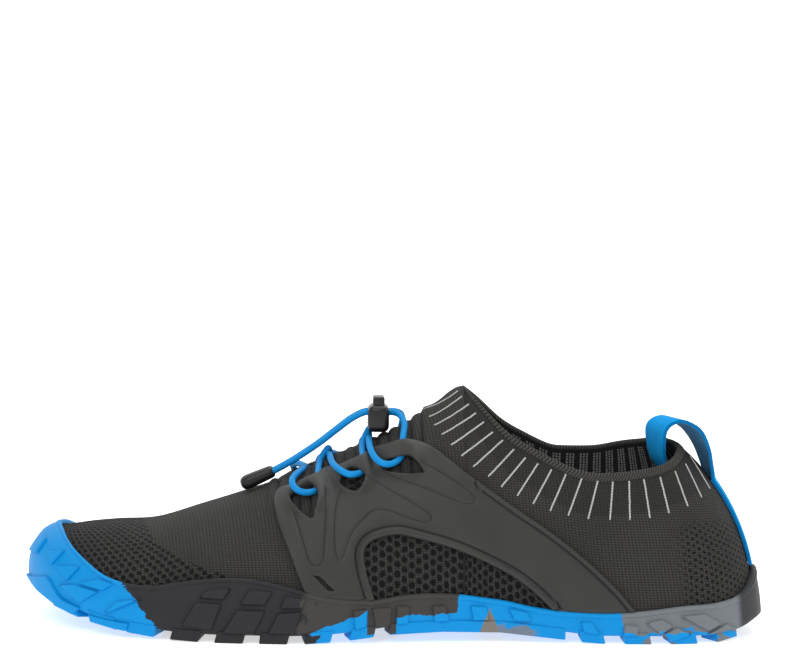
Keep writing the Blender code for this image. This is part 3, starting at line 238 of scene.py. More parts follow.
class Last:
    """The upper's outer surface. t runs from the toe tip to the heel, v from the sole edge up to the top."""

    def __init__(self):
        edges = {
            side: [
                (s.x * LENGTH, side * (s.lateral if side == LATERAL else s.medial) * ZONE_WIDTH[s.zone])
                for s in SECTIONS
            ]
            for side in (LATERAL, MEDIAL)
        }
        middle = [
            ((a[0] + b[0]) / 2, abs(a[1] - b[1]) / 2)
            for a, b in zip(edges[LATERAL], edges[MEDIAL])
        ]
        chords = [math.dist(p, q) for p, q in zip(middle, middle[1:])]
        along = [sum(chords[:i]) for i in range(len(chords) + 1)]
        ts = [distance / along[-1] for distance in along]
        self.span = along[-1]
        self.peak = ts[PEAK_ROW]
        self.edge_x = curve(ts, [p[0] for p in edges[LATERAL]], 0, 0)
        self.edge_y = {}
        for side in (LATERAL, MEDIAL):
            ys = [p[1] for p in edges[side]]
            other = [p[1] for p in edges[-side]]
            first = (ys[1] - other[1]) / (2 * (ts[1] - ts[0]))
            last = (other[-2] - ys[-2]) / (2 * (ts[-1] - ts[-2]))
            self.edge_y[side] = curve(ts, ys, first, last)
        self.pivot_x = curve(ts, [s.pivot * LENGTH for s in SECTIONS], 0, 0)
        self.pivot_y = curve(ts, [s.lean * BALL_WIDTH for s in SECTIONS], 0, 0)
        self.top = curve(ts, [s.top * ZONE_HEIGHT[s.zone] for s in SECTIONS], 0, 0)
        self.full = curve(ts, [s.full for s in SECTIONS], 0, 0)
        self.rand = curve(ts, [s.rand * TOE_HEIGHT for s in SECTIONS], 0, 0)
        rear = SECTIONS[PEAK_ROW:]
        self.cut2 = {
            LATERAL: curve(ts[PEAK_ROW:], [s.cut_l**2 for s in rear], None, 0),
            MEDIAL: curve(ts[PEAK_ROW:], [s.cut_m**2 for s in rear], None, 0),
        }
        self.samples = np.linspace(0, 1, 6001)
        self.sample_x = self.edge_x(self.samples)

    def cut(self, t, side):
        return np.where(t <= self.peak, 0.0, np.sqrt(np.maximum(self.cut2[side](t), 0)))

    def point(self, t, v, side):
        t, v = np.broadcast_arrays(np.asarray(t, float), np.asarray(v, float))
        x = self.edge_x(t)
        power = 2 / self.full(t)
        turn = np.arccos(np.clip(self.cut(t, side) ** (1 / power), -1, 1))
        out = np.maximum(np.cos(turn * v), 0) ** power
        up = np.maximum(np.sin(turn * v), 0) ** power
        return np.stack(
            [
                mix(self.pivot_x(t), x, out),
                mix(self.pivot_y(t), self.edge_y[side](t), out),
                mix(floor_at(x), self.top(t), up),
            ],
            -1,
        )

    def normal(self, t, v, side):
        t, v = np.broadcast_arrays(np.asarray(t, float), np.asarray(v, float))
        closed = self.cut(t, side) == 0
        v = np.clip(v, 0.02, np.where(closed, 0.97, 0.99))
        t = np.clip(t, 0.0, 1.0)
        dt, dv = 0.004, 0.01
        low, high = np.maximum(t - dt, 0), np.minimum(t + dt, 1)
        along = self.point(high, v, side) - self.point(low, v, side)
        start = (t < dt)[..., None]
        end = (t > 1 - dt)[..., None]
        inner = np.where(t < dt, dt, 1 - dt)
        other = self.point(inner, v, -side) - self.point(inner, v, side)
        along = np.where(end, other, np.where(start, -other, along))
        up = self.point(t, v + dv, side) - self.point(t, v - dv, side)
        n = np.cross(along, up) if side == LATERAL else np.cross(up, along)
        return unit(n)

    def shell(self, t, v, side, off):
        """A point that lies off outside the surface."""
        t, v = np.broadcast_arrays(np.asarray(t, float), np.asarray(v, float))
        n = self.normal(t, v, side)
        crest = ((v > 0.999) & (self.cut(t, side) == 0))[..., None]
        both = unit(n + self.normal(t, v, -side))
        n = np.where(crest, both, n)
        return self.point(t, v, side) + n * np.asarray(off, float)[..., None]

    def t_at(self, x):
        return np.interp(x, self.sample_x, self.samples)

    def v_at(self, t, side, z, off=0.0):
        low = np.zeros(np.broadcast(t, z).shape)
        high = np.ones_like(low)
        for _ in range(20):
            v = (low + high) / 2
            over = self.shell(t, v, side, off)[..., 2] >= z
            low, high = np.where(over, low, v), np.where(over, v, high)
        return (low + high) / 2

    def find(self, x, z, side, off=0.0):
        """The t and v whose point, moved off outside the surface, is seen at x and z from the side."""
        x, z = np.asarray(x, float), np.asarray(z, float)
        edge = x.copy()
        for _ in range(5):
            t = self.t_at(edge)
            v = self.v_at(t, side, z, off)
            edge = edge + x - self.shell(t, v, side, off)[..., 0]
        return t, v

    def height(self, x, y):
        t = self.t_at(x)
        middle = self.pivot_y(t)
        best = np.zeros(np.broadcast(x, y).shape)
        for side in (LATERAL, MEDIAL):
            low, high = np.zeros_like(best), np.ones_like(best)
            for _ in range(22):
                v = (low + high) / 2
                away = np.abs(self.point(t, v, side)[..., 1] - middle) > np.abs(y - middle)
                low, high = np.where(away, v, low), np.where(away, high, v)
            z = self.point(t, v, side)[..., 2]
            best = np.where((y < middle) == (side == LATERAL), z, best)
        return best

    def rand_v(self, t, side):
        return self.v_at(t, side, self.rand(t))


LAST = Last()

# Meshes

ROW_RISE = 0.87

def add_object(name, mesh, look, smooth_angle, body):
    """A smooth object that rides on a body. Edges sharper than the angle stay sharp."""
    mesh.polygons.foreach_set("use_smooth", [True] * len(mesh.polygons))
    if smooth_angle:
        mesh.set_sharp_from_angle(angle=math.radians(smooth_angle))
    mesh.materials.append(look)
    made = bpy.data.objects.new(name, mesh)
    bpy.context.scene.collection.objects.link(made)
    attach(made, body)
    return made


def add_piece(name, points, faces, look, smooth_angle=None, attributes=None, merge=None):
    """A piece of the shoe's own body. points are in the last's own frame."""
    mesh = bpy.data.meshes.new(name)
    mesh.from_pydata((np.asarray(points, float) + ORIGIN).tolist(), [], faces)
    for label, values in (attributes or {}).items():
        values = np.asarray(values, float)
        made = mesh.attributes.new(label, "FLOAT_VECTOR", "POINT")
        made.data.foreach_set("vector", values.astype(np.float32).ravel())
    bm = bmesh.new()
    bm.from_mesh(mesh)
    if merge:
        bmesh.ops.remove_doubles(bm, verts=bm.verts, dist=merge)
    bmesh.ops.recalc_face_normals(bm, faces=bm.faces)
    bm.to_mesh(mesh)
    bm.free()
    return add_object(name, mesh, look, smooth_angle, "shoe")


def grid_faces(rows, columns, closed_rows=False, closed_columns=False):
    """The faces of a grid whose points come row by row."""
    faces = []
    for i in range(rows if closed_rows else rows - 1):
        for j in range(columns if closed_columns else columns - 1):
            a, b = i * columns + j, i * columns + (j + 1) % columns
            c, d = (i + 1) % rows * columns + (j + 1) % columns, (i + 1) % rows * columns + j
            faces.append([a, b, c, d])
    return faces


def end_caps(rows, columns):
    """The faces that close the first and the last row of a grid with closed columns."""
    last = (rows - 1) * columns
    return [list(range(columns)), list(range(last, last + columns))]


def stepped_faces(count, triangles):
    """Walls from one ring of points over a second to a third, and the top that starts with the third."""
    faces = []
    for k in range(count):
        n = (k + 1) % count
        faces.append([k, n, n + count, k + count])
        faces.append([k + count, n + count, n + 2 * count, k + 2 * count])
    return faces + [[i + 2 * count for i in triangle] for triangle in triangles.tolist()]


def joined(parts):
    """Several lists of points and faces as one."""
    points, faces = [], []
    count = 0
    for part_points, part_faces in parts:
        part_points = np.asarray(part_points, float)
        points.append(part_points)
        faces += [[i + count for i in face] for face in part_faces]
        count += len(part_points)
    return np.concatenate(points), faces


def lengths_along(path):
    """For each point of a path, how far along it lies."""
    return np.concatenate([[0], np.cumsum(np.linalg.norm(np.diff(path, axis=0), axis=1))])


def curve_points(marks, step):
    """Points about a step apart on a smooth curve, from the second mark up to the last but one."""
    points = []
    for a, b, c, d in zip(marks, marks[1:], marks[2:], marks[3:]):
        pieces = max(1, round(float(np.linalg.norm(c - b)) / step))
        for k in range(pieces):
            s = k / pieces
            square = (2 * a - 5 * b + 4 * c - d) * s**2
            cube = (3 * b - a - 3 * c + d) * s**3
            points.append(0.5 * (2 * b + (c - a) * s + square + cube))
    return points


def line_through(marks, step):
    """The points of a smooth line through the given points, about a step apart."""
    marks = [np.asarray(m, float) for m in marks]
    return np.array(curve_points([marks[0]] + marks + [marks[-1]], step) + [marks[-1]])


def ring_through(marks, step):
    """A smooth closed line through the given points."""
    marks = [np.asarray(m, float) for m in marks]
    return np.array(curve_points(marks[-1:] + marks + marks[:2], step))


def inside(points, ring):
    """Which points lie inside a closed ring."""
    x, y = points[:, 0], points[:, 1]
    found = np.zeros(len(points), bool)
    for (ax, ay), (bx, by) in zip(ring, np.roll(ring, -1, axis=0)):
        if ay == by:
            continue
        crosses = ((ay > y) != (by > y)) & (x < (bx - ax) * (y - ay) / (by - ay) + ax)
        found ^= crosses
    return found


def distance_to(points, line, closed=True):
    """How far each point lies from a line."""
    ends = np.roll(line, -1, axis=0) if closed else line[1:]
    starts = line if closed else line[:-1]
    best = np.full(len(points), 1.0)
    for a, b in zip(starts, ends):
        d = b - a
        s = np.clip(((points - a) @ d) / max(float(d @ d), 1e-14), 0, 1)
        best = np.minimum(best, np.linalg.norm(points - a - s[:, None] * d, axis=1))
    return best


def outside_all(points, rings):
    """Which points lie outside every ring."""
    found = np.ones(len(points), bool)
    for ring in rings:
        found &= ~inside(points, ring)
    return found


def nearest(points, lines, closed=True):
    """How far each point lies from the nearest of some lines."""
    best = np.full(len(points), 1.0)
    for line in lines:
        best = np.minimum(best, distance_to(points, line, closed))
    return best


def fill(rings, step, extra=()):
    """Triangles inside the first ring and outside the others. Extra lines give points between them."""
    flat, edges = [], []
    for ring in rings:
        start = len(flat)
        flat += ring.tolist()
        edges += [(start + k, start + (k + 1) % len(ring)) for k in range(len(ring))]
    low, high = rings[0].min(axis=0), rings[0].max(axis=0)
    columns = int((high[0] - low[0]) / step) + 1
    rows = int((high[1] - low[1]) / (step * ROW_RISE)) + 1
    grid = []
    for i in range(columns):
        for j in range(rows):
            grid.append((low[0] + (i + 0.5 * (j % 2)) * step, low[1] + j * step * ROW_RISE))
    grid = np.array(grid)
    grid = grid[inside(grid, rings[0]) & outside_all(grid, rings[1:])]
    away = nearest(grid, rings)
    for line in extra:
        flat += line.tolist()
        if len(line) > 1:
            away = np.minimum(away, distance_to(grid, line, False))
    flat += grid[away > 0.5 * step].tolist()
    found = delaunay_2d_cdt([Vector(p) for p in flat], edges, [], 0, 1e-7)
    points = np.array([tuple(p) for p in found[0]])
    triangles = np.array([list(face) for face in found[2]])
    centres = points[triangles].mean(axis=1)
    keep = inside(centres, rings[0]) & outside_all(centres, rings[1:])
    return points, triangles[keep]


def tube(path, radius, sides):
    """A round tube along a path: points, faces and, for each point, how far along and round it is."""
    count = len(path)
    ahead = unit(np.roll(path, -1, axis=0) - np.roll(path, 1, axis=0))
    ahead[0] = unit(path[1] - path[0])
    ahead[-1] = unit(path[-1] - path[-2])
    across = unit(np.cross(ahead[0], (0.0, 0.0, 1.0)))
    lengths = lengths_along(path)
    points, weave = [], []
    for k in range(count):
        across = unit(across - ahead[k] * float(across @ ahead[k]))
        over = np.cross(across, ahead[k])
        for n in range(sides):
            turn = 2 * math.pi * n / sides
            points.append(path[k] + (across * math.cos(turn) + over * math.sin(turn)) * radius)
            weave.append((lengths[k] * 1000, math.cos(turn), math.sin(turn)))
    faces = grid_faces(count, sides, closed_columns=True) + end_caps(count, sides)
    return np.array(points), faces, np.array(weave)


# Materials


class Value:
    """What a socket of a material's nodes gives, with ordinary arithmetic."""

    def __init__(self, look, socket):
        self.look = look
        self.socket = socket

    def __add__(self, other):
        return self.look.math("ADD", self, other)

    def __sub__(self, other):
        return self.look.math("SUBTRACT", self, other)

    def __rsub__(self, other):
        return self.look.math("SUBTRACT", other, self)

    def __mul__(self, other):
        return self.look.math("MULTIPLY", self, other)

    def __abs__(self):
        return self.look.math("ABSOLUTE", self)


class Look:
    """A procedural material and short calls for its nodes. Lengths in its nodes are in millimetres."""

    def __init__(self, name, roughness, specular=0.5):
        self.material = bpy.data.materials.new(name)
        self.material.use_nodes = True
        self.nodes = self.material.node_tree.nodes
        self.links = self.material.node_tree.links
        self.shader = self.nodes["Principled BSDF"]
        self.shader.inputs["Roughness"].default_value = roughness
        self.shader.inputs["Specular IOR Level"].default_value = specular

    def put(self, socket, value):
        """Sets a socket to a value, a number or a colour."""
        if isinstance(value, Value):
            self.links.new(value.socket, socket)
        elif socket.type == "RGBA":
            socket.default_value = (*value, 1)
        else:
            socket.default_value = value

    def math(self, operation, *values):
        node = self.nodes.new("ShaderNodeMath")
        node.operation = operation
        for socket, value in zip(node.inputs, values):
            self.put(socket, value)
        return Value(self, node.outputs[0])

    def most(self, a, b):
        return self.math("MAXIMUM", a, b)

    def part(self, a):
        return self.math("FRACT", a)

    def step(self, low, high, x):
        """0 below low and 1 above high, with a smooth change between them."""
        node = self.nodes.new("ShaderNodeMapRange")
        node.interpolation_type = "SMOOTHSTEP"
        for label, value in (("Value", x), ("From Min", low), ("From Max", high)):
            self.put(node.inputs[label], value)
        return Value(self, node.outputs["Result"])

    def fade(self, low, high, x):
        """1 below low and 0 above high, with a smooth change between them."""
        return 1.0 - self.step(low, high, x)

    def band(self, height, period):
        """0 in the middle of each period and 0.5 at its ends."""
        return abs(self.part(height * (1 / period)) - 0.5)

    def blend(self, share, a, b):
        """The colour a where the share is 0 and b where it is 1."""
        node = self.nodes.new("ShaderNodeMix")
        node.data_type = "RGBA"
        self.put(node.inputs["Factor"], share)
        first, second = (socket for socket in node.inputs if socket.type == "RGBA")
        self.put(first, a)
        self.put(second, b)
        return Value(self, [socket for socket in node.outputs if socket.type == "RGBA"][0])

    def split(self, vector):
        node = self.nodes.new("ShaderNodeSeparateXYZ")
        self.put(node.inputs[0], vector)
        return [Value(self, socket) for socket in node.outputs]

    def attribute(self, name):
        """The three parts of an attribute of the mesh."""
        node = self.nodes.new("ShaderNodeAttribute")
        node.attribute_name = name
        return self.split(Value(self, node.outputs["Vector"]))

    def place(self):
        """The object's own coordinates: the vector and its parts."""
        source = self.nodes.new("ShaderNodeTexCoord")
        scale = self.nodes.new("ShaderNodeVectorMath")
        scale.operation = "SCALE"
        scale.inputs["Scale"].default_value = 1000
        self.links.new(source.outputs["Object"], scale.inputs[0])
        place = Value(self, scale.outputs[0])
        return place, self.split(place)

    def vector(self, x, y, z):
        node = self.nodes.new("ShaderNodeCombineXYZ")
        for socket, value in zip(node.inputs, (x, y, z)):
            self.put(socket, value)
        return Value(self, node.outputs[0])

    def noise(self, where, scale, detail=2.0, roughness=0.5):
        node = self.nodes.new("ShaderNodeTexNoise")
        self.put(node.inputs["Vector"], where)
        node.inputs["Scale"].default_value = scale
        node.inputs["Detail"].default_value = detail
        node.inputs["Roughness"].default_value = roughness
        return Value(self, node.outputs["Fac"])

    def cells(self, where, scale, output="Distance", randomness=1.0):
        node = self.nodes.new("ShaderNodeTexVoronoi")
        self.put(node.inputs["Vector"], where)
        node.inputs["Scale"].default_value = scale
        node.inputs["Randomness"].default_value = randomness
        return Value(self, node.outputs[output])

    def bump(self, height, distance, under=None):
        """distance is the height, in metres, of a value of 1."""
        node = self.nodes.new("ShaderNodeBump")
        node.inputs["Strength"].default_value = 1
        node.inputs["Distance"].default_value = distance
        self.put(node.inputs["Height"], height)
        if under is not None:
            self.put(node.inputs["Normal"], under)
        return Value(self, node.outputs[0])

    def finish(self, colour, normal=None, roughness=None):
        for label, value in (("Base Color", colour), ("Normal", normal), ("Roughness", roughness)):
            if value is not None:
                self.put(self.shader.inputs[label], value)
        return self.material


def grey(level):
    return (level, level, level)


def knit_look():
    """The knitted upper: plain stitches, and open knits at the toe, in the arch window and at the heel."""
    look = Look("knit", roughness=0.88, specular=0.25)
    along, rise, down = look.attribute("weave")
    toe, arch, heel = look.attribute("zone")
    cuff, valley_shade, _ = look.attribute("edge")
    up = abs(rise)
    where = look.vector(along, rise, 0.0)
    # Plain stitches: a V in each cell of 1.35 by 1.0 mm
    lean = look.band(along + up * 0.12, 1.35)
    ridge = look.band(up - lean * 1.1, 1.0)
    flank = look.math("POWER", lean * 2.0, 4.0) * 0.85
    plain = (1.0 - ridge * 1.8) * (1.0 - flank)
    wander = (look.noise(where, 0.30) - 0.5) * 1.6
    waver = (look.noise(where, 0.42) - 0.5) * 1.4

    def holes(turn, across, high, wide, tall):
        """Open holes in rows at a turn in degrees. Every second row is shifted."""
        cosine, sine = math.cos(math.radians(turn)), math.sin(math.radians(turn))
        u = (along * cosine + up * sine + wander) * (1 / across)
        w = (up * cosine - along * sine + waver) * (1 / high)
        u = u + look.math("FLOOR", w) * 0.5
        du = (look.part(u) - 0.5) * (across / wide)
        dw = (look.part(w) - 0.5) * (high / tall)
        return look.fade(0.62, 1.05, look.math("SQRT", du * du + dw * dw))

    toe_holes = holes(-40, 2.5, 3.1, 1.05, 1.15) * toe
    arch_holes = holes(27, 3.3, 3.4, 1.25, 1.55) * arch
    heel_holes = holes(-28, 2.4, 2.3, 0.72, 0.62) * heel
    open_share = look.most(toe_holes, look.most(arch_holes, heel_holes))
    fuzz = look.noise(where, 1.3, 3.0)
    tone = look.noise(where, 0.035)
    thread = look.blend(plain, grey(0.0015), (0.072, 0.069, 0.063))
    thread = look.blend(fuzz * 0.45, thread, grey(0.016))
    thread = look.blend(look.step(0.35, 0.75, tone) * 0.25, thread, grey(0.012))
    thread = look.blend(cuff * 0.45, thread, grey(0.012))
    # Painted shade: the knit is darkened in the valleys between the throat's bellows
    thread = look.blend(valley_shade * 0.8, thread, grey(0.004))
    hem = cuff * look.fade(2.0, 2.3, down)
    chain = look.band(along + down * 0.8, 1.3) * 2.0
    thread = look.blend(hem, thread, look.blend(chain, grey(0.006), (0.070, 0.067, 0.060)))
    colour = look.blend(open_share, thread, grey(0.0015))
    fine = look.bump(plain + fuzz * 0.35, 0.00022)
    return look.finish(colour, look.bump(1.0 - open_share, 0.0009, under=fine))


def lining_look():
    """The collar's inside: black with grey chained columns in threes."""
    look = Look("lining", roughness=0.9)
    along, down, _ = look.attribute("weave")
    where = look.vector(along, down, 0.0)
    group = look.part(along * (1 / 5.8)) * 5.8
    column = look.fade(0.22, 0.42, look.band(group, 1.3)) * look.fade(3.75, 4.0, group)
    height = look.step(1.3, 1.8, down) * look.fade(26.0, 30.0, down)
    share = column * height * look.step(0.02, 0.22, look.band(down, 1.1))
    fuzz = look.noise(where, 1.4, 3.0)
    colour = look.blend(share * 0.9, grey(0.009), grey(0.34))
    colour = look.blend(fuzz * 0.35, colour, grey(0.006))
    return look.finish(colour, look.bump(share * 0.8 + fuzz, 0.0003))


def stripe_look():
    """The stripes' light twisted thread."""
    look = Look("stripe thread", roughness=0.75)
    along, round_x, _ = look.attribute("weave")
    ridge = look.band(along * (1 / 0.55) + round_x * 0.5, 1.0)
    return look.finish(look.blend(ridge, (0.46, 0.46, 0.45), grey(0.15)), look.bump(ridge, 0.0001))


def frame_look():
    """The moulded frame: matte charcoal with a fine grain, a painted highlight along its edges and painted
    shade in its grooves.
    """
    look = Look("moulded frame", roughness=0.5, specular=0.28)
    where, _ = look.place()
    edge, groove, _ = look.attribute("edge")
    grain = look.noise(where, 5.0, 3.0, 0.6)
    tone = look.noise(where, 0.06)
    colour = look.blend(look.step(0.3, 0.7, tone), (0.026, 0.026, 0.0245), (0.031, 0.031, 0.029))
    # Painted highlight: the frame is lighter along its edges
    colour = look.blend(edge * 0.30, colour, (0.050, 0.050, 0.048))
    # Painted shade: the grooves beside the piping and along the rear, and the engraved lines, are darkened
    colour = look.blend(look.step(0.35, 0.75, groove) * 0.85, colour, grey(0.003))
    return look.finish(colour, look.bump(grain, 0.00004), grain * 0.16 + 0.42)


def sole_look():
    """The rubber: blue, black under the ball, dark grey broken by blue, blue again and grey at the heel."""
    look = Look("outsole rubber", roughness=0.55, specular=0.16)
    where, (x, y, z) = look.place()
    blue = (0.0, 0.25, 0.62)
    split = look.nodes.new("ShaderNodeSeparateColor")
    look.put(split.inputs[0], look.cells(where, 0.11, output="Color"))
    flake = Value(look, split.outputs[0])
    ragged = look.noise(where, 0.14, 3.0, 0.6) - 0.5
    torn = (look.noise(where, 0.22, 4.0, 0.7) - 0.5) * 9.0
    splash = look.noise(look.vector(x * 0.8, y, z * 2.0), 0.085, 2.0, 0.55)
    rag = ragged * 7.0
    # The toe, the ball and the arch
    colour = look.blend(look.fade(-86.6, -86.1, x + torn + z * 0.86), (0.022, 0.022, 0.024), blue)
    middle = look.step(-34.5, -34.2, x + ((flake - 0.5) * 9.0 + ragged * 14.0))
    colour = look.blend(middle, colour, (0.046, 0.044, 0.042))
    # Blue splashes in the arch
    first = look.step(-33.0, -32.6, x + ragged * 3.0) * look.fade(-11.8, -11.5, x)
    first = first * look.fade(17.4, 17.8, z - x * 0.42 + rag)
    second = look.step(-0.9, -0.6, x) * look.fade(10.6, 11.0, z + rag)
    foot = look.fade(3.4, 3.8, z + rag * 0.3)
    colour = look.blend(middle * look.most(foot, look.most(first, second)), colour, blue)
    # The blue rear with its pale chip and haze
    rear = look.step(20.5, 20.9, x + rag * 0.45 - z * 0.10)
    colour = look.blend(rear, colour, blue)
    chip = look.fade(13.0, 13.6, z + abs(x - 34.5) * 2.6 + rag)
    haze = look.step(32.0, 34.0, x) * look.fade(50.0, 54.0, x)
    haze = haze * (look.fade(5.0, 11.0, z) * look.step(0.50, 0.56, splash))
    colour = look.blend(rear * look.most(chip, haze * 0.8), colour, (0.19, 0.17, 0.15))
    # The grey heel, blue low down, and its dark lip
    heel = look.step(85.6, 86.0, x + (torn * 0.25 + z * 0.12))
    colour = look.blend(heel, colour, (0.155, 0.17, 0.185))
    low = heel * look.fade(4.6, 5.4, z + rag)
    colour = look.blend(low * look.step(0.47, 0.48, splash), colour, blue)
    colour = look.blend(look.step(131.0, 134.0, x + z * 0.10), colour, (0.035, 0.036, 0.038))
    grain = look.noise(where, 2.6, 4.0, 0.65)
    pebble = look.cells(where, 1.5)
    colour = look.blend(look.step(0.45, 0.8, grain) * 0.16, colour, (0.01, 0.012, 0.014))
    return look.finish(colour, look.bump(grain + pebble * 0.5, 0.00012), grain * 0.22 + 0.42)


def lace_look():
    """The braided lace, lighter on its strands' crowns, with painted shade between the strands."""
    look = Look("braided lace", roughness=0.6, specular=0.22)
    along, cosine, sine = look.attribute("weave")
    turn = look.math("ARCTAN2", sine, cosine) * (4 / math.pi)
    pitch = along * 2.6
    braid = look.most(look.band(pitch + turn, 1.0), look.band(pitch - turn, 1.0)) * 2.0
    # Painted shade: the braid is darker between its strands than on their crowns
    colour = look.blend(look.step(0.5, 1.0, braid), (0.0, 0.20, 0.52), (0.0, 0.285, 0.70))
    return look.finish(colour, look.bump(braid, 0.00007))


def strap_look():
    """The heel tab: a fine microfibre with darker cut edges."""
    look = Look("blue microfibre", roughness=0.85, specular=0.10)
    where, _ = look.place()
    edge, inner, _ = look.attribute("edge")
    nap = look.noise(where, 4.0, 4.0, 0.7)
    tone = look.noise(where, 0.12)
    colour = look.blend(look.step(0.3, 0.7, nap), (0.0, 0.25, 0.60), (0.0, 0.31, 0.72))
    colour = look.blend(look.step(0.35, 0.7, tone) * 0.2, colour, (0.0, 0.22, 0.55))
    colour = look.blend(edge * 0.75, colour, (0.0, 0.09, 0.26))
    colour = look.blend(inner * 0.65, colour, (0.07, 0.16, 0.24))
    return look.finish(colour, look.bump(nap, 0.00012))


def footbed_look():
    """The footbed's flecked textile."""
    look = Look("footbed", roughness=0.92)
    where, _ = look.place()
    weave = look.cells(where, 0.9, randomness=0.6)
    fleck = look.noise(where, 2.2, 3.0)
    colour = look.blend(look.step(0.35, 0.7, fleck), (0.014, 0.014, 0.016), (0.045, 0.045, 0.05))
    return look.finish(colour, look.bump(weave, 0.0002))


def plastic_look(name, colour, roughness):
    """A smooth plastic with painted highlights in soft patches."""
    look = Look(name, roughness=roughness, specular=0.38)
    where, _ = look.place()
    grain = look.noise(where, 3.5, 3.0, 0.6)
    # Painted highlight: soft lighter patches on the plastic
    sheen_patches = look.noise(where, 0.35, 3.0)
    sheen_colour = tuple(1.7 * c + 0.004 for c in colour)
    shade = look.blend(look.step(0.5, 0.8, sheen_patches) * 0.5, colour, sheen_colour)
    return look.finish(shade, look.bump(grain, 0.00003), grain * 0.14 + (roughness - 0.07))


KNIT = knit_look()
LINING = lining_look()
STRIPE = stripe_look()
FRAME = frame_look()
RUBBER = sole_look()
LACE = lace_look()
STRAP = strap_look()
FOOTBED = footbed_look()
LOCK = plastic_look("lock plastic", (0.007, 0.007, 0.007), 0.32)
GRIP = plastic_look("grip rubber", (0.008, 0.008, 0.008), 0.4)

# The lace's free ends: the same route as their solids

Point = namedtuple("Point", "x y z")
LACE_END = [
    Point(0.1420, -0.0135, 0.0765),
    Point(0.1422, -0.0108, 0.0788),
    Point(0.1412, -0.0070, 0.0809),
    Point(0.1394, -0.0034, 0.0820),
    Point(0.1372, -0.0022, 0.0822),
    Point(0.1324, -0.0022, 0.0822),
    Point(0.1274, -0.0022, 0.0820),
    Point(0.1220, -0.0021, 0.0793),
    Point(0.1160, -0.0019, 0.0746),
    Point(0.1090, -0.0017, 0.0690),
    Point(0.1010, -0.0016, 0.0634),
    Point(0.0960, -0.0016, 0.0603),
    Point(0.0930, -0.0016, 0.0586),
]
LOCK_PLACE = np.array((0.1324, 0.0030, 0.0798))
LOCK_LENGTH = 0.0082
LOCK_WIDTH = 0.0150
LOCK_HEIGHT = 0.0104
PLUNGER_LENGTH = 0.0045
PLUNGER_WIDTH = 0.0100
PLUNGER_STICKS_OUT = 0.0032
PLUNGER_IN_BARREL = 0.004
BARREL_ROUNDING = 0.0024
PLUNGER_ROUNDING = 0.0008
CORD_END_PLACE = np.array((0.0924, 0.0030, 0.0583))
CORD_END_LENGTH = 0.0140
CORD_END_WIDTH = 0.0076
CORD_END_HEIGHT = 0.0054
CORD_END_DROP = math.radians(25)
CORD_END_SIDES = 28
LACE_INTO_GRIP = 0.0032
LACE_SIDES = 14
# The grip's outline: the share of its length and of its girth
Girth = namedtuple("Girth", "share size")
CORD_END_OUTLINE = [
    Girth(0.0, 0.52),
    Girth(0.012, 0.68),
    Girth(0.04, 0.82),
    Girth(0.10, 0.90),
    Girth(0.25, 0.94),
    Girth(0.50, 1.0),
    Girth(0.72, 1.05),
    Girth(0.84, 1.03),
    Girth(0.91, 0.92),
    Girth(0.96, 0.72),
    Girth(0.99, 0.42),
    Girth(1.0, 0.12),
]


def end_route(side):
    """One lace end's points. The far end mirrors the near one."""
    middle = LOCK_PLACE[1]
    return [np.array((p.x, middle - side * p.y, p.z)) for p in LACE_END]


def rounded_box(name, size, centre, rounding, segments, body):
    """A box with rounded edges, in the lock's plastic."""
    bm = bmesh.new()
    bmesh.ops.create_cube(bm, size=1)
    bmesh.ops.scale(bm, vec=size, verts=bm.verts)
    bmesh.ops.bevel(bm, geom=bm.edges[:], offset=rounding, segments=segments, profile=0.5, affect="EDGES")
    bmesh.ops.translate(bm, vec=tuple(centre + ORIGIN), verts=bm.verts)
    mesh = bpy.data.meshes.new(name)
    bm.to_mesh(mesh)
    bm.free()
    return add_object(name, mesh, LOCK, 40, body)


def squared(value, size):
    """A share of a circle's width or height, drawn towards a square."""
    return math.copysign(abs(value) ** 0.8, value) * size / 2


def cord_grip():
    """The moulded grip on the lace's ends."""
    points = []
    for girth in CORD_END_OUTLINE:
        for n in range(CORD_END_SIDES):
            turn = 2 * math.pi * n / CORD_END_SIDES
            across = squared(math.cos(turn), girth.size * CORD_END_WIDTH)
            up = squared(math.sin(turn), girth.size * CORD_END_HEIGHT)
            points.append((-girth.share * CORD_END_LENGTH, across, up))
    rows = len(CORD_END_OUTLINE)
    faces = grid_faces(rows, CORD_END_SIDES, closed_columns=True) + end_caps(rows, CORD_END_SIDES)
    turn = np.array(Matrix.Rotation(-CORD_END_DROP, 3, "Y"))
    points = np.array(points) @ turn.T + CORD_END_PLACE
    made = add_piece("cord_grip", points, faces, GRIP, smooth_angle=40)
    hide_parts("cord_end")
    return made


def cord_lock():
    """The lock: its barrel, and the button that slides down in it."""
    size = (LOCK_LENGTH, LOCK_WIDTH, LOCK_HEIGHT)
    barrel = rounded_box("lock_shell", size, LOCK_PLACE, BARREL_ROUNDING, 6, "shoe")
    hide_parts("lock_barrel")
    top = LOCK_HEIGHT / 2 + PLUNGER_STICKS_OUT
    foot = LOCK_HEIGHT / 2 - PLUNGER_IN_BARREL
    size = (PLUNGER_LENGTH, PLUNGER_WIDTH, top - foot)
    centre = LOCK_PLACE + (0, 0, (top + foot) / 2)
    button = rounded_box("lock_plunger_cap", size, centre, PLUNGER_ROUNDING, 3, "lock_plunger")
    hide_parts("lock_button")


def free_ends(grip):
    """The lace's two free ends, which run into the grip."""
    for side, label, node in ((LATERAL, "near", "lace_end_near"), (MEDIAL, "far", "lace_end_far")):
        path = line_through(end_route(side), 0.0012)
        inside_grip = path[-1] + unit(path[-1] - path[-3]) * LACE_INTO_GRIP
        points, faces, weave = tube(np.vstack([path, inside_grip]), LACE_DIAMETER / 2, LACE_SIDES)
        piece = add_piece(f"lace_free_{label}", points, faces, LACE, 50, {"weave": weave})
        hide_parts(node)


cord_lock()
free_ends(cord_grip())

# The upper

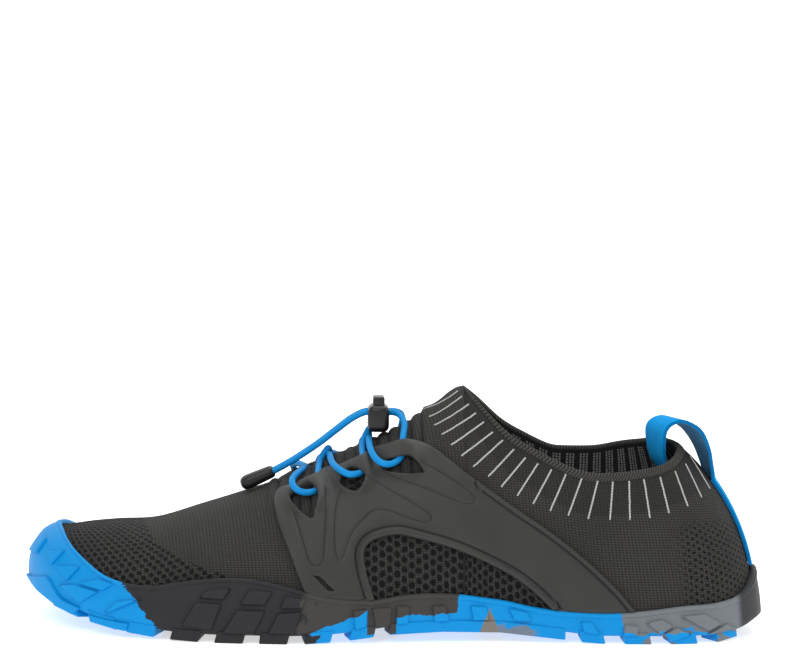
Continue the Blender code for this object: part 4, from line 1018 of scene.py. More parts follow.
RIB_PITCH = 0.0042
RIB_HEIGHT = 0.0011
RIB_SUNK = 0.0003
FIRST_VALLEY = 0.0902
HEM_HEIGHT = 0.0022
HEM_RISE = 0.0004
HEM_GROOVE_WIDTH = 0.0004
HEM_GROOVE_DEPTH = 0.00025
FOLD_PLACE = 0.1515
FOLD_WIDTH = 0.0024
FOLD_HEIGHT = 0.0007
CUFF_HEIGHT = 0.0155
SOCK_ROWS = 74
RIM_ROWS = 6
LINING_ROWS = 36
WELD = 2e-6
Spacing = namedtuple("Spacing", "where apart")
SOCK_STATIONS = [
    Spacing(0.000, 0.00080),
    Spacing(0.060, 0.00120),
    Spacing(0.290, 0.00130),
    Spacing(0.330, 0.00055),
    Spacing(0.585, 0.00055),
    Spacing(0.640, 0.00110),
    Spacing(1.000, 0.00110),
]
LINING_STATIONS = [Spacing(0, 0.002), Spacing(1, 0.002)]
SOLE_STATIONS = [Spacing(0, 0.0009), Spacing(0.1, 0.0013), Spacing(0.9, 0.0013), Spacing(1, 0.0009)]
# The border of the toe's open knit: its x at some heights
Border = namedtuple("Border", "z x")
KNIT_BORDER = [
    Border(0.0240, 0.0760),
    Border(0.0285, 0.0601),
    Border(0.0330, 0.0495),
    Border(0.0387, 0.0419),
    Border(0.0450, 0.0390),
]


def spaced(start, end, spacings):
    """Values from start to end whose distances on the last follow the spacings."""
    ts = np.linspace(0, 1, 4001)
    apart = np.interp(ts, [s.where for s in spacings], [s.apart for s in spacings]) / LAST.span
    count = np.concatenate([[0], np.cumsum(0.5 * (1 / apart[1:] + 1 / apart[:-1]) * np.diff(ts))])
    first, last = np.interp([start, end], ts, count)
    steps = max(2, round(last - first))
    return np.interp(np.linspace(first, last, steps + 1), count, ts)


def upper_stations(spacings):
    """The upper's stations, with one at the collar's peak."""
    return np.concatenate([spaced(0, LAST.peak, spacings), spaced(LAST.peak, 1, spacings)[1:]])


def section_lengths(ts, vs, side):
    """For each point of a grid, its distance down from the section's top edge."""
    points = LAST.point(ts[:, None], vs[None, :], side)
    steps = np.linalg.norm(np.diff(points, axis=1), axis=-1)
    return np.concatenate([np.cumsum(steps[:, ::-1], axis=1)[:, ::-1], np.zeros((len(ts), 1))], axis=1)


def station_lengths(ts):
    return lengths_along(LAST.point(ts, 0.45, LATERAL))


def in_millimetres(along, up, down):
    """The knit's coordinates as an attribute, one row for each point."""
    return np.stack([along * 1000, up * 1000, down * 1000], -1).reshape(-1, 3)


def rib_area(points, v):
    """Where the throat has its bellows."""
    x = points[..., 0]
    across = smooth(0.0885, 0.0925, x) * (1 - smooth(0.1500, 0.1530, x)) * smooth(0.25, 0.45, v)
    return across * smooth(0.0440, 0.0480, points[..., 2])


def rib_wave(points):
    """0 in the valleys between the bellows and 1 on their tops."""
    return np.abs(np.sin(math.pi * (points[..., 0] - FIRST_VALLEY) / RIB_PITCH)) ** 0.7


def throat_ribs(points, v):
    """How far the bellows across the throat stand out."""
    return rib_area(points, v) * (rib_wave(points) * RIB_HEIGHT - RIB_SUNK)


def rib_valley_shade(points, v):
    """How deep in a valley between the bellows each point lies: the share of painted shade that the knit gets
    there.
    """
    return rib_area(points, v) * (1 - smooth(0.15, 0.75, rib_wave(points)))


def upper_offset(points, v, down, t):
    """How far the outer skin lies off the last: the ribs, the hem and the fold under the collar's peak."""
    off = throat_ribs(points, v)
    rear = smooth(LAST.peak - 0.002, LAST.peak + 0.002, t)
    hem = rear * (1 - smooth(HEM_HEIGHT * 0.82, HEM_HEIGHT * 1.05, down))
    groove = rear * groove_at(down, HEM_HEIGHT * 1.12, HEM_GROOVE_WIDTH)
    off = off + hem * HEM_RISE - groove * HEM_GROOVE_DEPTH
    fold = groove_at(points[..., 0], FOLD_PLACE, FOLD_WIDTH)
    fold = fold * smooth(0.45, 0.75, v) * (t <= LAST.peak + 0.004)
    return off + fold * FOLD_HEIGHT


def zones(points):
    """The open knits at the toe, in the arch window and at the heel."""
    x, z = points[..., 0], points[..., 2]
    border = np.interp(z, [b.z for b in KNIT_BORDER], [b.x for b in KNIT_BORDER])
    toe = smooth(-0.0004, 0.0008, border - x)
    arch = smooth(0.120, 0.121, x) * smooth(-0.0005, 0.0005, 0.0520 - (x - 0.146) * 0.42 - z)
    arch = arch * (1 - smooth(0.2135, 0.2145, x))
    heel = smooth(0.2440, 0.2530, x + (z - 0.03) * 0.1) * (1 - smooth(0.0420, 0.0470, z))
    return np.stack([toe, arch, heel], -1)


def rolled_hem(ts, edge, side):
    """Rows that roll the collar's edge to the inside. Where the upper is closed they stay on its crest."""
    normal = LAST.normal(ts, 1.0, side)
    rise = unit(LAST.point(ts, 1.0, side) - LAST.point(ts, 0.985, side))
    half = (UPPER_WALL + HEM_RISE) / 2
    closed = (ts <= LAST.peak + 1e-9)[:, None]
    rows = []
    for k in range(1, RIM_ROWS + 1):
        turn = math.pi * k / RIM_ROWS
        row = edge + normal * half * (math.cos(turn) - 1) + rise * half * math.sin(turn)
        rows.append(np.where(closed, edge, row))
    return np.stack(rows, axis=1)


def sock():
    """The upper's outer skin, with its hem rolled over the collar's edge."""
    ts = upper_stations(SOCK_STATIONS)
    vs = 1 - (1 - np.arange(SOCK_ROWS + 1) / SOCK_ROWS) ** 1.22
    along = station_lengths(ts)
    open_top = (ts > LAST.peak)[:, None]
    parts, weave, zone, edge = [], [], [], []
    for side in (LATERAL, MEDIAL):
        down = section_lengths(ts, vs, side)
        v = np.broadcast_to(vs, down.shape)
        base = LAST.point(ts[:, None], v, side)
        off = upper_offset(base, v, down, ts[:, None])
        points = LAST.shell(ts[:, None], v, side, off)
        grid = np.concatenate([points, rolled_hem(ts, points[:, -1], side)], axis=1)
        width = grid.shape[1]
        rim = np.zeros((len(ts), RIM_ROWS))
        depth = np.concatenate([down, rim], axis=1)
        up = down[:, :1] - depth
        reach = np.broadcast_to(along[:, None], depth.shape)
        weave.append(in_millimetres(reach, side * up, depth))
        zone.append(zones(grid).reshape(-1, 3))
        # The valleys' depth goes into the edge attribute, for the knit's painted shade there
        valley_shade = np.concatenate([rib_valley_shade(base, v), rim], axis=1)
        cuff = open_top * (1 - smooth(CUFF_HEIGHT * 0.97, CUFF_HEIGHT, depth))
        edge.append(np.stack([cuff, valley_shade, np.zeros_like(cuff)], -1).reshape(-1, 3))
        faces = []
        for i in range(len(ts) - 1):
            last = width - 1 if ts[i + 1] > LAST.peak + 1e-9 else SOCK_ROWS
            for j in range(last):
                a, b = i * width + j, (i + 1) * width + j
                faces.append([a, b, b + 1, a + 1])
        parts.append((grid.reshape(-1, 3), faces))
    attributes = {"weave": np.concatenate(weave), "zone": np.concatenate(zone), "edge": np.concatenate(edge)}
    piece = add_piece("sock", *joined(parts), KNIT, None, attributes, WELD)
    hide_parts("upper")


def sock_lining():
    """The upper's inner skin."""
    ts = upper_stations(LINING_STATIONS)
    vs = np.linspace(0, 1, LINING_ROWS + 1)
    along = station_lengths(ts)
    parts, weave = [], []
    for side in (LATERAL, MEDIAL):
        down = section_lengths(ts, vs, side)
        v = np.broadcast_to(vs, down.shape)
        base = LAST.point(ts[:, None], v, side)
        off = np.minimum(throat_ribs(base, v) * 0.6, 0.0004) - UPPER_WALL
        points = LAST.shell(ts[:, None], v, side, off)
        parts.append((points.reshape(-1, 3), grid_faces(len(ts), len(vs))))
        reach = np.broadcast_to(along[:, None], down.shape)
        weave.append(in_millimetres(reach, down, np.zeros_like(down)))
    attributes = {"weave": np.concatenate(weave)}
    piece = add_piece("sock_lining", *joined(parts), LINING, None, attributes, WELD)


sock()
sock_lining()

# The chained stripes on the collar: x and z seen from the side, near the hem and at the lower end

Stripe = namedtuple("Stripe", "x0 z0 x1 z1")
STRIPES = [
    Stripe(0.1626, 0.0915, 0.1503, 0.0827),
    Stripe(0.1640, 0.0899, 0.1519, 0.0811),
    Stripe(0.1665, 0.0873, 0.1535, 0.0788),
    Stripe(0.1691, 0.0842, 0.1560, 0.0760),
    Stripe(0.1721, 0.0811, 0.1595, 0.0726),
    Stripe(0.1754, 0.0776, 0.1634, 0.0689),
    Stripe(0.1792, 0.0748, 0.1678, 0.0649),
    Stripe(0.1834, 0.0716, 0.1735, 0.0614),
    Stripe(0.1879, 0.0688, 0.1785, 0.0578),
    Stripe(0.1925, 0.0667, 0.1846, 0.0546),
    Stripe(0.1977, 0.0647, 0.1906, 0.0517),
    Stripe(0.2030, 0.0630, 0.1971, 0.0493),
    Stripe(0.2091, 0.0619, 0.2039, 0.0476),
    Stripe(0.2151, 0.0611, 0.2115, 0.0466),
    Stripe(0.2208, 0.0608, 0.2198, 0.0464),
    Stripe(0.2270, 0.0610, 0.2274, 0.0465),
    Stripe(0.2327, 0.0617, 0.2351, 0.0473),
    Stripe(0.2390, 0.0626, 0.2425, 0.0491),
    Stripe(0.2451, 0.0643, 0.2501, 0.0512),
    Stripe(0.2500, 0.0664, 0.2561, 0.0540),
    Stripe(0.2530, 0.0683, 0.2602, 0.0566),
]
STRIPE_WIDTH = 0.00078
STRIPE_HEIGHT = 0.00032
STITCH = 0.0011
STRIPE_BELOW_EDGE = 0.0060
STRIPE_SUNK = 0.00012
STRIPE_LIFT = 0.00008
STRIPE_TAPER = 0.0004
STRIPE_POINTS = 56
STRIPE_ARC = 6
EVENING_ROUNDS = 12


def locate(x, z, side):
    """The t and v near the collar whose points are seen at x and z from the side."""
    ts, vs = np.linspace(0.50, 0.97, 760), np.linspace(0.45, 1.0, 130)
    places = LAST.point(ts[:, None], vs[None, :], side)
    found = []
    for a, b in zip(x, z):
        away = (places[..., 0] - a) ** 2 + (places[..., 2] - b) ** 2
        found.append(np.unravel_index(np.argmin(away), away.shape))
    found = np.array(found)
    return ts[found[:, 0]], vs[found[:, 1]]


def evened(line):
    """A line with its small steps smoothed out, its ends kept."""
    for _ in range(EVENING_ROUNDS):
        line = np.concatenate([line[:1], (line[:-2] + 2 * line[1:-1] + line[2:]) / 4, line[-1:]])
    return line


def stripe_strip(stripe, side):
    """One stripe: an arched strip that bulges at each stitch. Points, faces and the thread's coordinates."""
    s = np.linspace(0, 1, STRIPE_POINTS)
    t, v = locate(mix(stripe.x0, stripe.x1, s), mix(stripe.z0, stripe.z1, s), side)
    off = evened(upper_offset(LAST.point(t, v, side), v, np.full_like(t, STRIPE_BELOW_EDGE), t))
    middle = evened(LAST.shell(t, v, side, off))
    out = unit(evened(LAST.normal(t, v, side)))
    across = unit(np.cross(unit(np.gradient(middle, axis=0)), out))
    length = lengths_along(middle)
    bulge = 0.62 + 0.38 * np.abs(np.sin(math.pi * length / STITCH))
    end = np.minimum(1, np.minimum(length, length[-1] - length) / STRIPE_TAPER + 0.25)
    rows, marks = [], []
    for k in range(STRIPE_ARC + 1):
        turn = math.pi * k / STRIPE_ARC
        wide = math.cos(turn) * STRIPE_WIDTH / 2
        tall = math.sin(turn) * STRIPE_HEIGHT - STRIPE_SUNK
        sideways = across * (wide * bulge * end)[:, None]
        outwards = out * (tall * bulge * end + STRIPE_LIFT)[:, None]
        rows.append(middle + sideways + outwards)
        marks.append(np.stack([length * 1000, np.full_like(length, math.cos(turn)), 0 * length], -1))
    points = np.stack(rows, axis=1).reshape(-1, 3)
    return points, grid_faces(len(s), STRIPE_ARC + 1), np.stack(marks, axis=1).reshape(-1, 3)


def collar_stripes():
    """The chained stripes on both sides of the collar."""
    strips = [stripe_strip(stripe, side) for side in (LATERAL, MEDIAL) for stripe in STRIPES]
    points, faces = joined([strip[:2] for strip in strips])
    weave = np.concatenate([strip[2] for strip in strips])
    piece = add_piece("collar_stripes", points, faces, STRIPE, None, {"weave": weave})


collar_stripes()

# The moulded side frames

Mark = namedtuple("Mark", "x z")
FRAME_FRONT = [Mark(0.3535, 0.354), Mark(0.3370, 0.466), Mark(0.3295, 0.548)]
FRAME_TOP = [
    Mark(0.3360, 0.582), Mark(0.3500, 0.603), Mark(0.3900, 0.658), Mark(0.4240, 0.698),
    Mark(0.4575, 0.746), Mark(0.4927, 0.790), Mark(0.5120, 0.799), Mark(0.5425, 0.772),
    Mark(0.5960, 0.660), Mark(0.6554, 0.538), Mark(0.6980, 0.455), Mark(0.7450, 0.350),
    Mark(0.7920, 0.222),
]
FRAME_ARCH = [
    Mark(0.6750, 0.217), Mark(0.6405, 0.286), Mark(0.5755, 0.374), Mark(0.5110, 0.426),
    Mark(0.4895, 0.431), Mark(0.4690, 0.417), Mark(0.4565, 0.394), Mark(0.4515, 0.358),
    Mark(0.4544, 0.299), Mark(0.4600, 0.240),
]
FRAME_FEET = {"front": 0.3745, "arch_front": 0.4680, "arch_rear": 0.7060, "rear": 0.8190}
LACE_WINDOWS = [
    [
        Mark(0.352, 0.556), Mark(0.379, 0.489), Mark(0.385, 0.520), Mark(0.388, 0.592),
        Mark(0.374, 0.619), Mark(0.357, 0.586),
    ],
    [
        Mark(0.418, 0.624), Mark(0.438, 0.597), Mark(0.447, 0.620), Mark(0.451, 0.662),
        Mark(0.438, 0.684), Mark(0.426, 0.675),
    ],
    [
        Mark(0.470, 0.702), Mark(0.482, 0.676), Mark(0.524, 0.672), Mark(0.528, 0.688),
        Mark(0.511, 0.740), Mark(0.487, 0.728),
    ],
]
FRAME_SLOT = [Mark(0.386, 0.272), Mark(0.394, 0.268), Mark(0.413, 0.214), Mark(0.405, 0.216)]
FRAME_CLEARANCE = 0.0005
LACE_ROOM = 0.0024
LACE_ROOM_REACH = 0.0110
LACE_ROOM_ABOVE = 0.0030
# Engraved lines on the frame, in metres from the toe tip and over the ground
ENGRAVED = [
    [
        (0.0995, 0.0495), (0.1045, 0.0365), (0.1072, 0.0300), (0.1098, 0.0290), (0.1118, 0.0309),
        (0.1123, 0.0402), (0.1126, 0.0560),
    ],
    [
        (0.1178, 0.0555), (0.1161, 0.0485), (0.1161, 0.0368), (0.1176, 0.0308), (0.1196, 0.0329),
        (0.1224, 0.0406), (0.1272, 0.0461), (0.1307, 0.0487), (0.1366, 0.0485), (0.1438, 0.0461),
        (0.1505, 0.0447), (0.1522, 0.0469), (0.1475, 0.0504), (0.1378, 0.0553), (0.1275, 0.0610),
    ],
    [
        (0.1445, 0.0680), (0.1557, 0.0628), (0.1647, 0.0576), (0.1684, 0.0540), (0.1679, 0.0519),
        (0.1629, 0.0524), (0.1527, 0.0560), (0.1378, 0.0609), (0.1350, 0.0622),
    ],
]
PIPING_WIDTH = 0.0027
PIPING_HEIGHT = 0.0008
GROOVE_DEPTH = 0.0005
EDGE_ROUNDING = 0.00045
ENGRAVED_WIDTH = 0.00017
FRAME_INTO_RAND = 0.0002
FRAME_STEP = 0.0011
# How far from their line the mesh's own rows of points lie
EDGE_ROWS = (0.00015, 0.00045)
PIPING_ROWS = (0.0016, PIPING_WIDTH, 0.0031, 0.0037)
REAR_ROWS = (0.0012, 0.0019, 0.0024)
ENGRAVED_ROW = 0.00028
HOLE_MARGIN = 0.0004


def frame_place(mark):
    return mark.x * LENGTH, mark.z * INSTEP_HEIGHT


def frame_lift(flat):
    """How far the frame stands off the upper, round its lace windows."""
    lift = np.zeros(len(flat))
    for window in LACE_WINDOWS:
        places = np.array([frame_place(m) for m in window])
        middle = places.mean(axis=0) + (0, LACE_ROOM_ABOVE)
        near = np.clip(1.8 * (1 - np.linalg.norm(flat - middle, axis=1) / LACE_ROOM_REACH), 0, 1)
        lift = np.maximum(lift, LACE_ROOM * near * near * (3 - 2 * near))
    return lift


def rand_top(x):
    """Where the frame ends, a little below the rand's upper edge."""
    return LAST.rand(LAST.t_at(x)) - FRAME_INTO_RAND


def frame_rings():
    """The frame's outline and holes, and its lines along the arch window and along the top."""
    step = 0.0012
    feet = {}
    for name, share in FRAME_FEET.items():
        feet[name] = (share * LENGTH, float(rand_top(share * LENGTH)))
    front = [feet["front"]] + [frame_place(m) for m in FRAME_FRONT] + [frame_place(FRAME_TOP[0])]
    top = [frame_place(m) for m in FRAME_TOP] + [feet["rear"]]
    arch = [feet["arch_rear"]] + [frame_place(m) for m in FRAME_ARCH] + [feet["arch_front"]]
    arch_line = line_through(arch, step)
    top_line = line_through(top, step)

    def foot_line(start, end):
        xs = np.linspace(feet[start][0], feet[end][0], 14)[1:-1]
        return np.stack([xs, rand_top(xs)], -1)

    outline = np.concatenate(
        [
            line_through(front, step)[:-1],
            top_line,
            foot_line("rear", "arch_rear"),
            arch_line,
            foot_line("arch_front", "front"),
        ]
    )
    holes = [ring_through([frame_place(m) for m in window], 0.0011) for window in LACE_WINDOWS]
    slot = np.array([frame_place(m) for m in FRAME_SLOT])
    sides = [line_through([a, b], 0.0009)[:-1] for a, b in zip(slot, np.roll(slot, -1, axis=0))]
    return outline, holes + [np.concatenate(sides)], arch_line, top_line


def left_of(ahead):
    """Flat directions, turned a quarter turn to the left."""
    return np.stack([-ahead[:, 1], ahead[:, 0]], -1)


def moved_line(line, distance):
    """A line moved sideways in its plane."""
    return line + left_of(unit(np.gradient(line, axis=0))) * distance


def rows_beside(line, distances, ends, outline):
    """Rows of points on both sides of a line, inside the outline, without the given number at the ends."""
    rows = []
    for distance in distances:
        for sign in (1, -1):
            row = moved_line(line, sign * distance)[ends:-ends]
            rows.append(row[inside(row, outline) & (distance_to(row, line, False) > 0.9 * distance)])
    return rows


def rows_along_edges(outline, holes):
    """Rows of points on the frame, beside its outline and its holes."""
    rings = [outline] + holes
    rows = []
    for ring in rings:
        for distance in EDGE_ROWS:
            for sign in (1, -1):
                row = moved_line(np.concatenate([ring, ring[:1]]), sign * distance)[:-1]
                keep = inside(row, outline) & outside_all(row, holes)
                rows.append(row[keep & (nearest(row, rings) > 0.8 * distance)])
    return rows


def rows_along_grooves(grooves, outline, holes):
    """Rows of points on and beside the engraved lines."""
    rows = []
    for line in grooves:
        for distance in (ENGRAVED_ROW, -ENGRAVED_ROW, 0):
            row = moved_line(line, distance)
            keep = inside(row, outline) & outside_all(row, holes) & (nearest(row, holes) > HOLE_MARGIN)
            if distance:
                keep &= distance_to(row, line, False) > 0.85 * ENGRAVED_ROW
            rows.append(row[keep])
    return rows


def side_frame(label, side, node):
    """One moulded frame: a plate over the upper, with piping round the arch window and engraved lines."""
    outline, holes, arch_line, top_line = frame_rings()
    rings = [outline] + holes
    rear_line = top_line[int(len(top_line) * 0.52) :]
    grooves = [line_through(line, 0.0009) for line in ENGRAVED]
    extra = rows_along_edges(outline, holes)
    extra += rows_beside(arch_line, PIPING_ROWS, 4, outline)
    extra += rows_beside(rear_line, REAR_ROWS, 2, outline)
    extra += rows_along_grooves(grooves, outline, holes)
    flat, triangles = fill(rings, FRAME_STEP, [row for row in extra if len(row)])
    to_ring = nearest(flat, rings)
    to_arch = distance_to(flat, arch_line, False)
    to_rear = distance_to(flat, rear_line, False)
    round_edge = np.sqrt(1 - (1 - np.clip(to_ring / EDGE_ROUNDING, 0, 1)) ** 2)
    groove = np.maximum(groove_at(to_arch, 0.0032, 0.00055), groove_at(to_rear, 0.0021, 0.0004))
    groove = np.maximum(groove, 0.55 * groove_at(nearest(flat, grooves, False), 0, ENGRAVED_WIDTH))
    height = FRAME_THICKNESS * (0.30 + 0.70 * round_edge)
    height += PIPING_HEIGHT * bead_at(to_arch, PIPING_WIDTH / 2, PIPING_WIDTH / 2)
    height += bead_at(to_rear, 0.0009, 0.0010) * 0.0004 - GROOVE_DEPTH * groove
    base = FRAME_CLEARANCE + frame_lift(flat)
    t, v = LAST.find(flat[:, 0], flat[:, 1], side, base + FRAME_THICKNESS)
    points = np.concatenate([LAST.shell(t, v, side, base), LAST.shell(t, v, side, base + height)])
    count = len(flat)
    faces = triangles.tolist() + [[a + count, c + count, b + count] for a, b, c in triangles.tolist()]
    start = 0
    for ring in rings:
        size = len(ring)
        for k in range(size):
            a, b = start + k, start + (k + 1) % size
            faces.append([a, b, b + count, a + count])
        start += size
    # The attribute's first part marks the edges for their painted highlight, its second the grooves for their
    # painted shade
    edge = np.stack([groove_at(to_ring, 0, 0.0006), groove, np.zeros(count)], -1)
    attributes = {"edge": np.concatenate([edge, edge])}
    piece = add_piece(f"side_frame_{label}", points, faces, FRAME, 50, attributes)
    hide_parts(node)


side_frame("near", LATERAL, "cage_near")
side_frame("far", MEDIAL, "cage_far")

# The outsole

RAND_BEAD = 0.0019
RAND_BEAD_HEIGHT = 0.0005
WALL_ROWS = 15
BEAD_ROWS = (0.0019, 0.00165, 0.0013, 0.00095, 0.0006, 0.0003, 0.0001, 0.0)
RIM_START = 0.0004
# Behind the rand's upper edge its inner face runs down between it and the upper
BackRow = namedtuple("BackRow", "off share")
BACK_ROWS = [BackRow(0.0006, 1.003), BackRow(0.0002, 0.995), BackRow(0.0002, 0.93), BackRow(0.0002, 0.80)]
PLATE_HEIGHT = 0.0012
PLATE_ROUNDING = 0.0006
PLATE_SLOPE = 0.0003
PLATE_SUNK = 0.0004


def rand_offset(t, s):
    """How far the rand's outer face lies outside the upper. s runs from its foot, 0, to its upper edge, 1."""
    lip = HEEL_LIP * np.clip((LAST.edge_x(t) / LENGTH - 0.955) / 0.03, 0, 1)
    return CLEARANCE + mix(RAND_FOOT_THICKNESS, RAND_TOP_THICKNESS, s) + lip


class Rand:
    """The rand of one side, with its heights kept for many places."""

    def __init__(self, side):
        self.side = side
        self.ts = np.linspace(0, 1, 801)
        self.vs = LAST.rand_v(self.ts, side)
        foot = LAST.point(self.ts, 0.0, side)
        top = LAST.point(self.ts, self.vs, side)
        middle = LAST.point(self.ts, self.vs / 2, side)
        self.sizes = np.linalg.norm(middle - foot, axis=1) + np.linalg.norm(top - middle, axis=1)

    def height(self, t):
        return np.interp(t, self.ts, self.sizes)

    def point(self, t, s, extra=0.0):
        """A point on the outer face. Below its foot, s runs on to -2 at the ground."""
        s = np.asarray(s, float)
        up = np.maximum(s, 0)
        v = up * np.interp(t, self.ts, self.vs)
        p = LAST.shell(t, v, self.side, rand_offset(t, up) + extra)
        ground = ground_at(LAST.edge_x(t))
        p[..., 2] = np.where(s < 0, mix(p[..., 2], ground, np.clip(-s / 2, 0, 1)), p[..., 2])
        return p


RANDS = {side: Rand(side) for side in (LATERAL, MEDIAL)}


def wall_rows(side, ts):
    """One side's rows over the sole's wall, from underneath over the bead to behind the upper edge."""
    rand = RANDS[side]
    size = rand.height(ts)
    ground = ground_at(LAST.edge_x(ts)) + LUG_DEPTH
    under = LAST.shell(ts, 0.0, side, rand_offset(ts, 0) - 0.0009)
    under[:, 2] = ground
    low = LAST.shell(ts, 0.0, side, rand_offset(ts, 0) - 0.0002)
    low[:, 2] = ground + 0.0006
    rows = [under, low]
    for k in range(WALL_ROWS):
        down = mix(size, RAND_BEAD * 1.12, k / (WALL_ROWS - 1))
        rows.append(rand.point(ts, 1 - down / size))
    for down in BEAD_ROWS:
        lift = bead_at(down, RAND_BEAD / 2, RAND_BEAD / 2) * RAND_BEAD_HEIGHT
        slim = RIM_START * (1 - down / RIM_START) if down < RIM_START else 0.0
        rows.append(rand.point(ts, 1 - down / size, lift - slim))
    top = np.interp(ts, rand.ts, rand.vs)
    for row in BACK_ROWS:
        rows.append(LAST.shell(ts, np.minimum(top * row.share, 1.0), side, row.off))
    return np.stack(rows, axis=1)


def sole_wall():
    """The sole's side wall all round, and its flat underside."""
    ts = spaced(0, 1, SOLE_STATIONS)
    near, far = (wall_rows(side, ts) for side in (LATERAL, MEDIAL))
    loop = np.concatenate([near, far[-2:0:-1]])
    width = loop.shape[1]
    points = loop.reshape(-1, 3)
    faces = grid_faces(len(loop), width, closed_rows=True)
    ring = loop[:, 0, :2]
    flat, triangles = fill([ring], 0.0055)
    inner = flat[len(ring) :]
    numbers = [i * width for i in range(len(loop))] + list(range(len(points), len(points) + len(inner)))
    inner = np.column_stack([inner, ground_at(inner[:, 0]) + LUG_DEPTH])
    faces += [[numbers[i] for i in triangle] for triangle in triangles.tolist()]
    return np.concatenate([points, inner]), faces


def corners_rounded(ring, radius):
    """A ring with its corners cut back and rounded."""
    result = []
    count = len(ring)
    for k in range(count):
        before, here, after = ring[k - 1], ring[k], ring[(k + 1) % count]
        a, b = before - here, after - here
        ra = min(radius, 0.35 * float(np.linalg.norm(a)))
        rb = min(radius, 0.35 * float(np.linalg.norm(b)))
        start, end = here + unit(a) * ra, here + unit(b) * rb
        for s in (0.0, 0.33, 0.67, 1.0):
            result.append(mix(mix(start, here, s), mix(here, end, s), s))
    return np.array(result)


def subdivided(ring, step):
    """A ring with points about a step apart."""
    result = []
    for a, b in zip(ring, np.roll(ring, -1, axis=0)):
        pieces = max(1, round(float(np.linalg.norm(b - a)) / step))
        result += [mix(a, b, k / pieces) for k in range(pieces)]
    return np.array(result)


def inset(ring, distance):
    """A ring moved inwards along its corners' bisectors."""
    area = 0.5 * np.sum(ring[:, 0] * np.roll(ring[:, 1], -1) - np.roll(ring[:, 0], -1) * ring[:, 1])
    ahead = unit(np.roll(ring, -1, axis=0) - ring)
    behind = np.roll(ahead, 1, axis=0)
    way = 1 if area > 0 else -1
    n = unit(left_of(ahead) * way + left_of(behind) * way)
    spread = np.maximum(np.sum(n * left_of(ahead) * way, axis=1), 0.5)
    return ring + n * (distance / spread)[:, None]


def rand_plate(corners, side):
    """A raised plate on the rand, worked out on a flat copy of the rand."""
    rand = RANDS[side]

    def to_flat(corner):
        x = corner.x * LENGTH
        size = rand.height(LAST.t_at(x))
        foot = floor_at(x) - ground_at(x)
        return np.array((x, corner.s * size if corner.s >= 0 else corner.s / 2 * foot))

    def to_space(flat, extra):
        t = LAST.t_at(flat[:, 0])
        foot = floor_at(flat[:, 0]) - ground_at(flat[:, 0])
        s = np.where(flat[:, 1] >= 0, flat[:, 1] / rand.height(t), flat[:, 1] * 2 / foot)
        return rand.point(t, s, extra)

    ring = np.array([to_flat(corner) for corner in corners])
    ring = subdivided(corners_rounded(ring, PLATE_ROUNDING), 0.0013)
    inner = inset(ring, PLATE_SLOPE)
    if not inside(inner, ring).all():
        inner = mix(ring, ring.mean(axis=0), 0.12)
    flat, triangles = fill([inner], 0.0016)
    layers = [to_space(ring, -PLATE_SUNK), to_space(ring, PLATE_HEIGHT * 0.55), to_space(flat, PLATE_HEIGHT)]
    return np.concatenate(layers), stepped_faces(len(ring), triangles)


# Raised plates on the rand. A corner has its x in shoe lengths and its s, which is 1 at the rand's upper
# edge, 0 at its foot and -2 at the ground.
Corner = namedtuple("Corner", "x s")
TOE_PLATES = [
    [(0.006, 0.60), (0.001, 0.24), (0.014, 0.31), (0.018, 0.60)],
    [(0.025, 0.42), (0.038, 0.31), (0.051, 0.76)],
    [(0.044, 0.36), (0.062, 0.25), (0.076, 0.72)],
    [(0.051, 0.10), (0.071, 0.26), (0.105, 0.40), (0.081, -0.20)],
    [(0.078, 0.34), (0.102, 0.74), (0.122, 0.82), (0.110, 0.48)],
    [(0.113, -0.50), (0.130, 0.30), (0.161, 0.52)],
    [
        (0.001, -0.52),
        (0.035, 0.12),
        (0.056, -0.60),
        (0.081, -0.72),
        (0.072, -1.80),
        (0.049, -1.60),
        (0.022, -1.20),
    ],
    [(0.092, -1.10), (0.146, -0.95), (0.143, -1.84), (0.098, -1.80)],
]
SIDE_PLATES = [
    [(0.246, 0.72), (0.278, 0.75), (0.268, 0.50), (0.236, 0.54)],
    [(0.233, 0.45), (0.266, 0.41), (0.254, -0.55), (0.214, -0.34)],
    [(0.302, 0.75), (0.332, 0.77), (0.322, 0.44), (0.289, 0.40)],
    [(0.286, 0.30), (0.323, 0.31), (0.307, -1.00), (0.267, -0.90)],
    [(0.349, 0.75), (0.375, 0.77), (0.370, 0.48), (0.342, 0.40)],
    [(0.340, 0.29), (0.370, 0.40), (0.360, -0.85), (0.326, -0.90)],
    [(0.436, 0.52), (0.456, 0.56), (0.454, -0.70), (0.440, -0.90)],
    [(0.462, 0.58), (0.488, 0.52), (0.486, -0.90), (0.466, -0.80)],
    [(0.494, 0.52), (0.512, 0.46), (0.510, -0.90), (0.494, -0.90)],
    [(0.542, 0.42), (0.560, 0.44), (0.566, -0.80), (0.546, -0.90)],
    [(0.594, 0.46), (0.616, 0.48), (0.620, -0.70), (0.598, -0.80)],
    [(0.646, 0.52), (0.672, 0.44), (0.678, -0.40), (0.654, -0.60)],
    [(0.744, 0.26), (0.759, 0.26), (0.770, -0.95), (0.748, -0.90)],
    [(0.803, 0.16), (0.822, 0.00), (0.820, -1.00), (0.801, -1.20)],
    [(0.831, 0.24), (0.853, 0.42), (0.868, 0.02), (0.852, -0.90)],
    [(0.878, 0.52), (0.911, 0.58), (0.933, 0.05), (0.915, -0.62)],
    [(0.856, -0.80), (0.873, -0.10), (0.893, -0.90), (0.866, -1.70)],
    [(0.940, 0.02), (0.951, -0.75), (0.914, -0.98)],
]

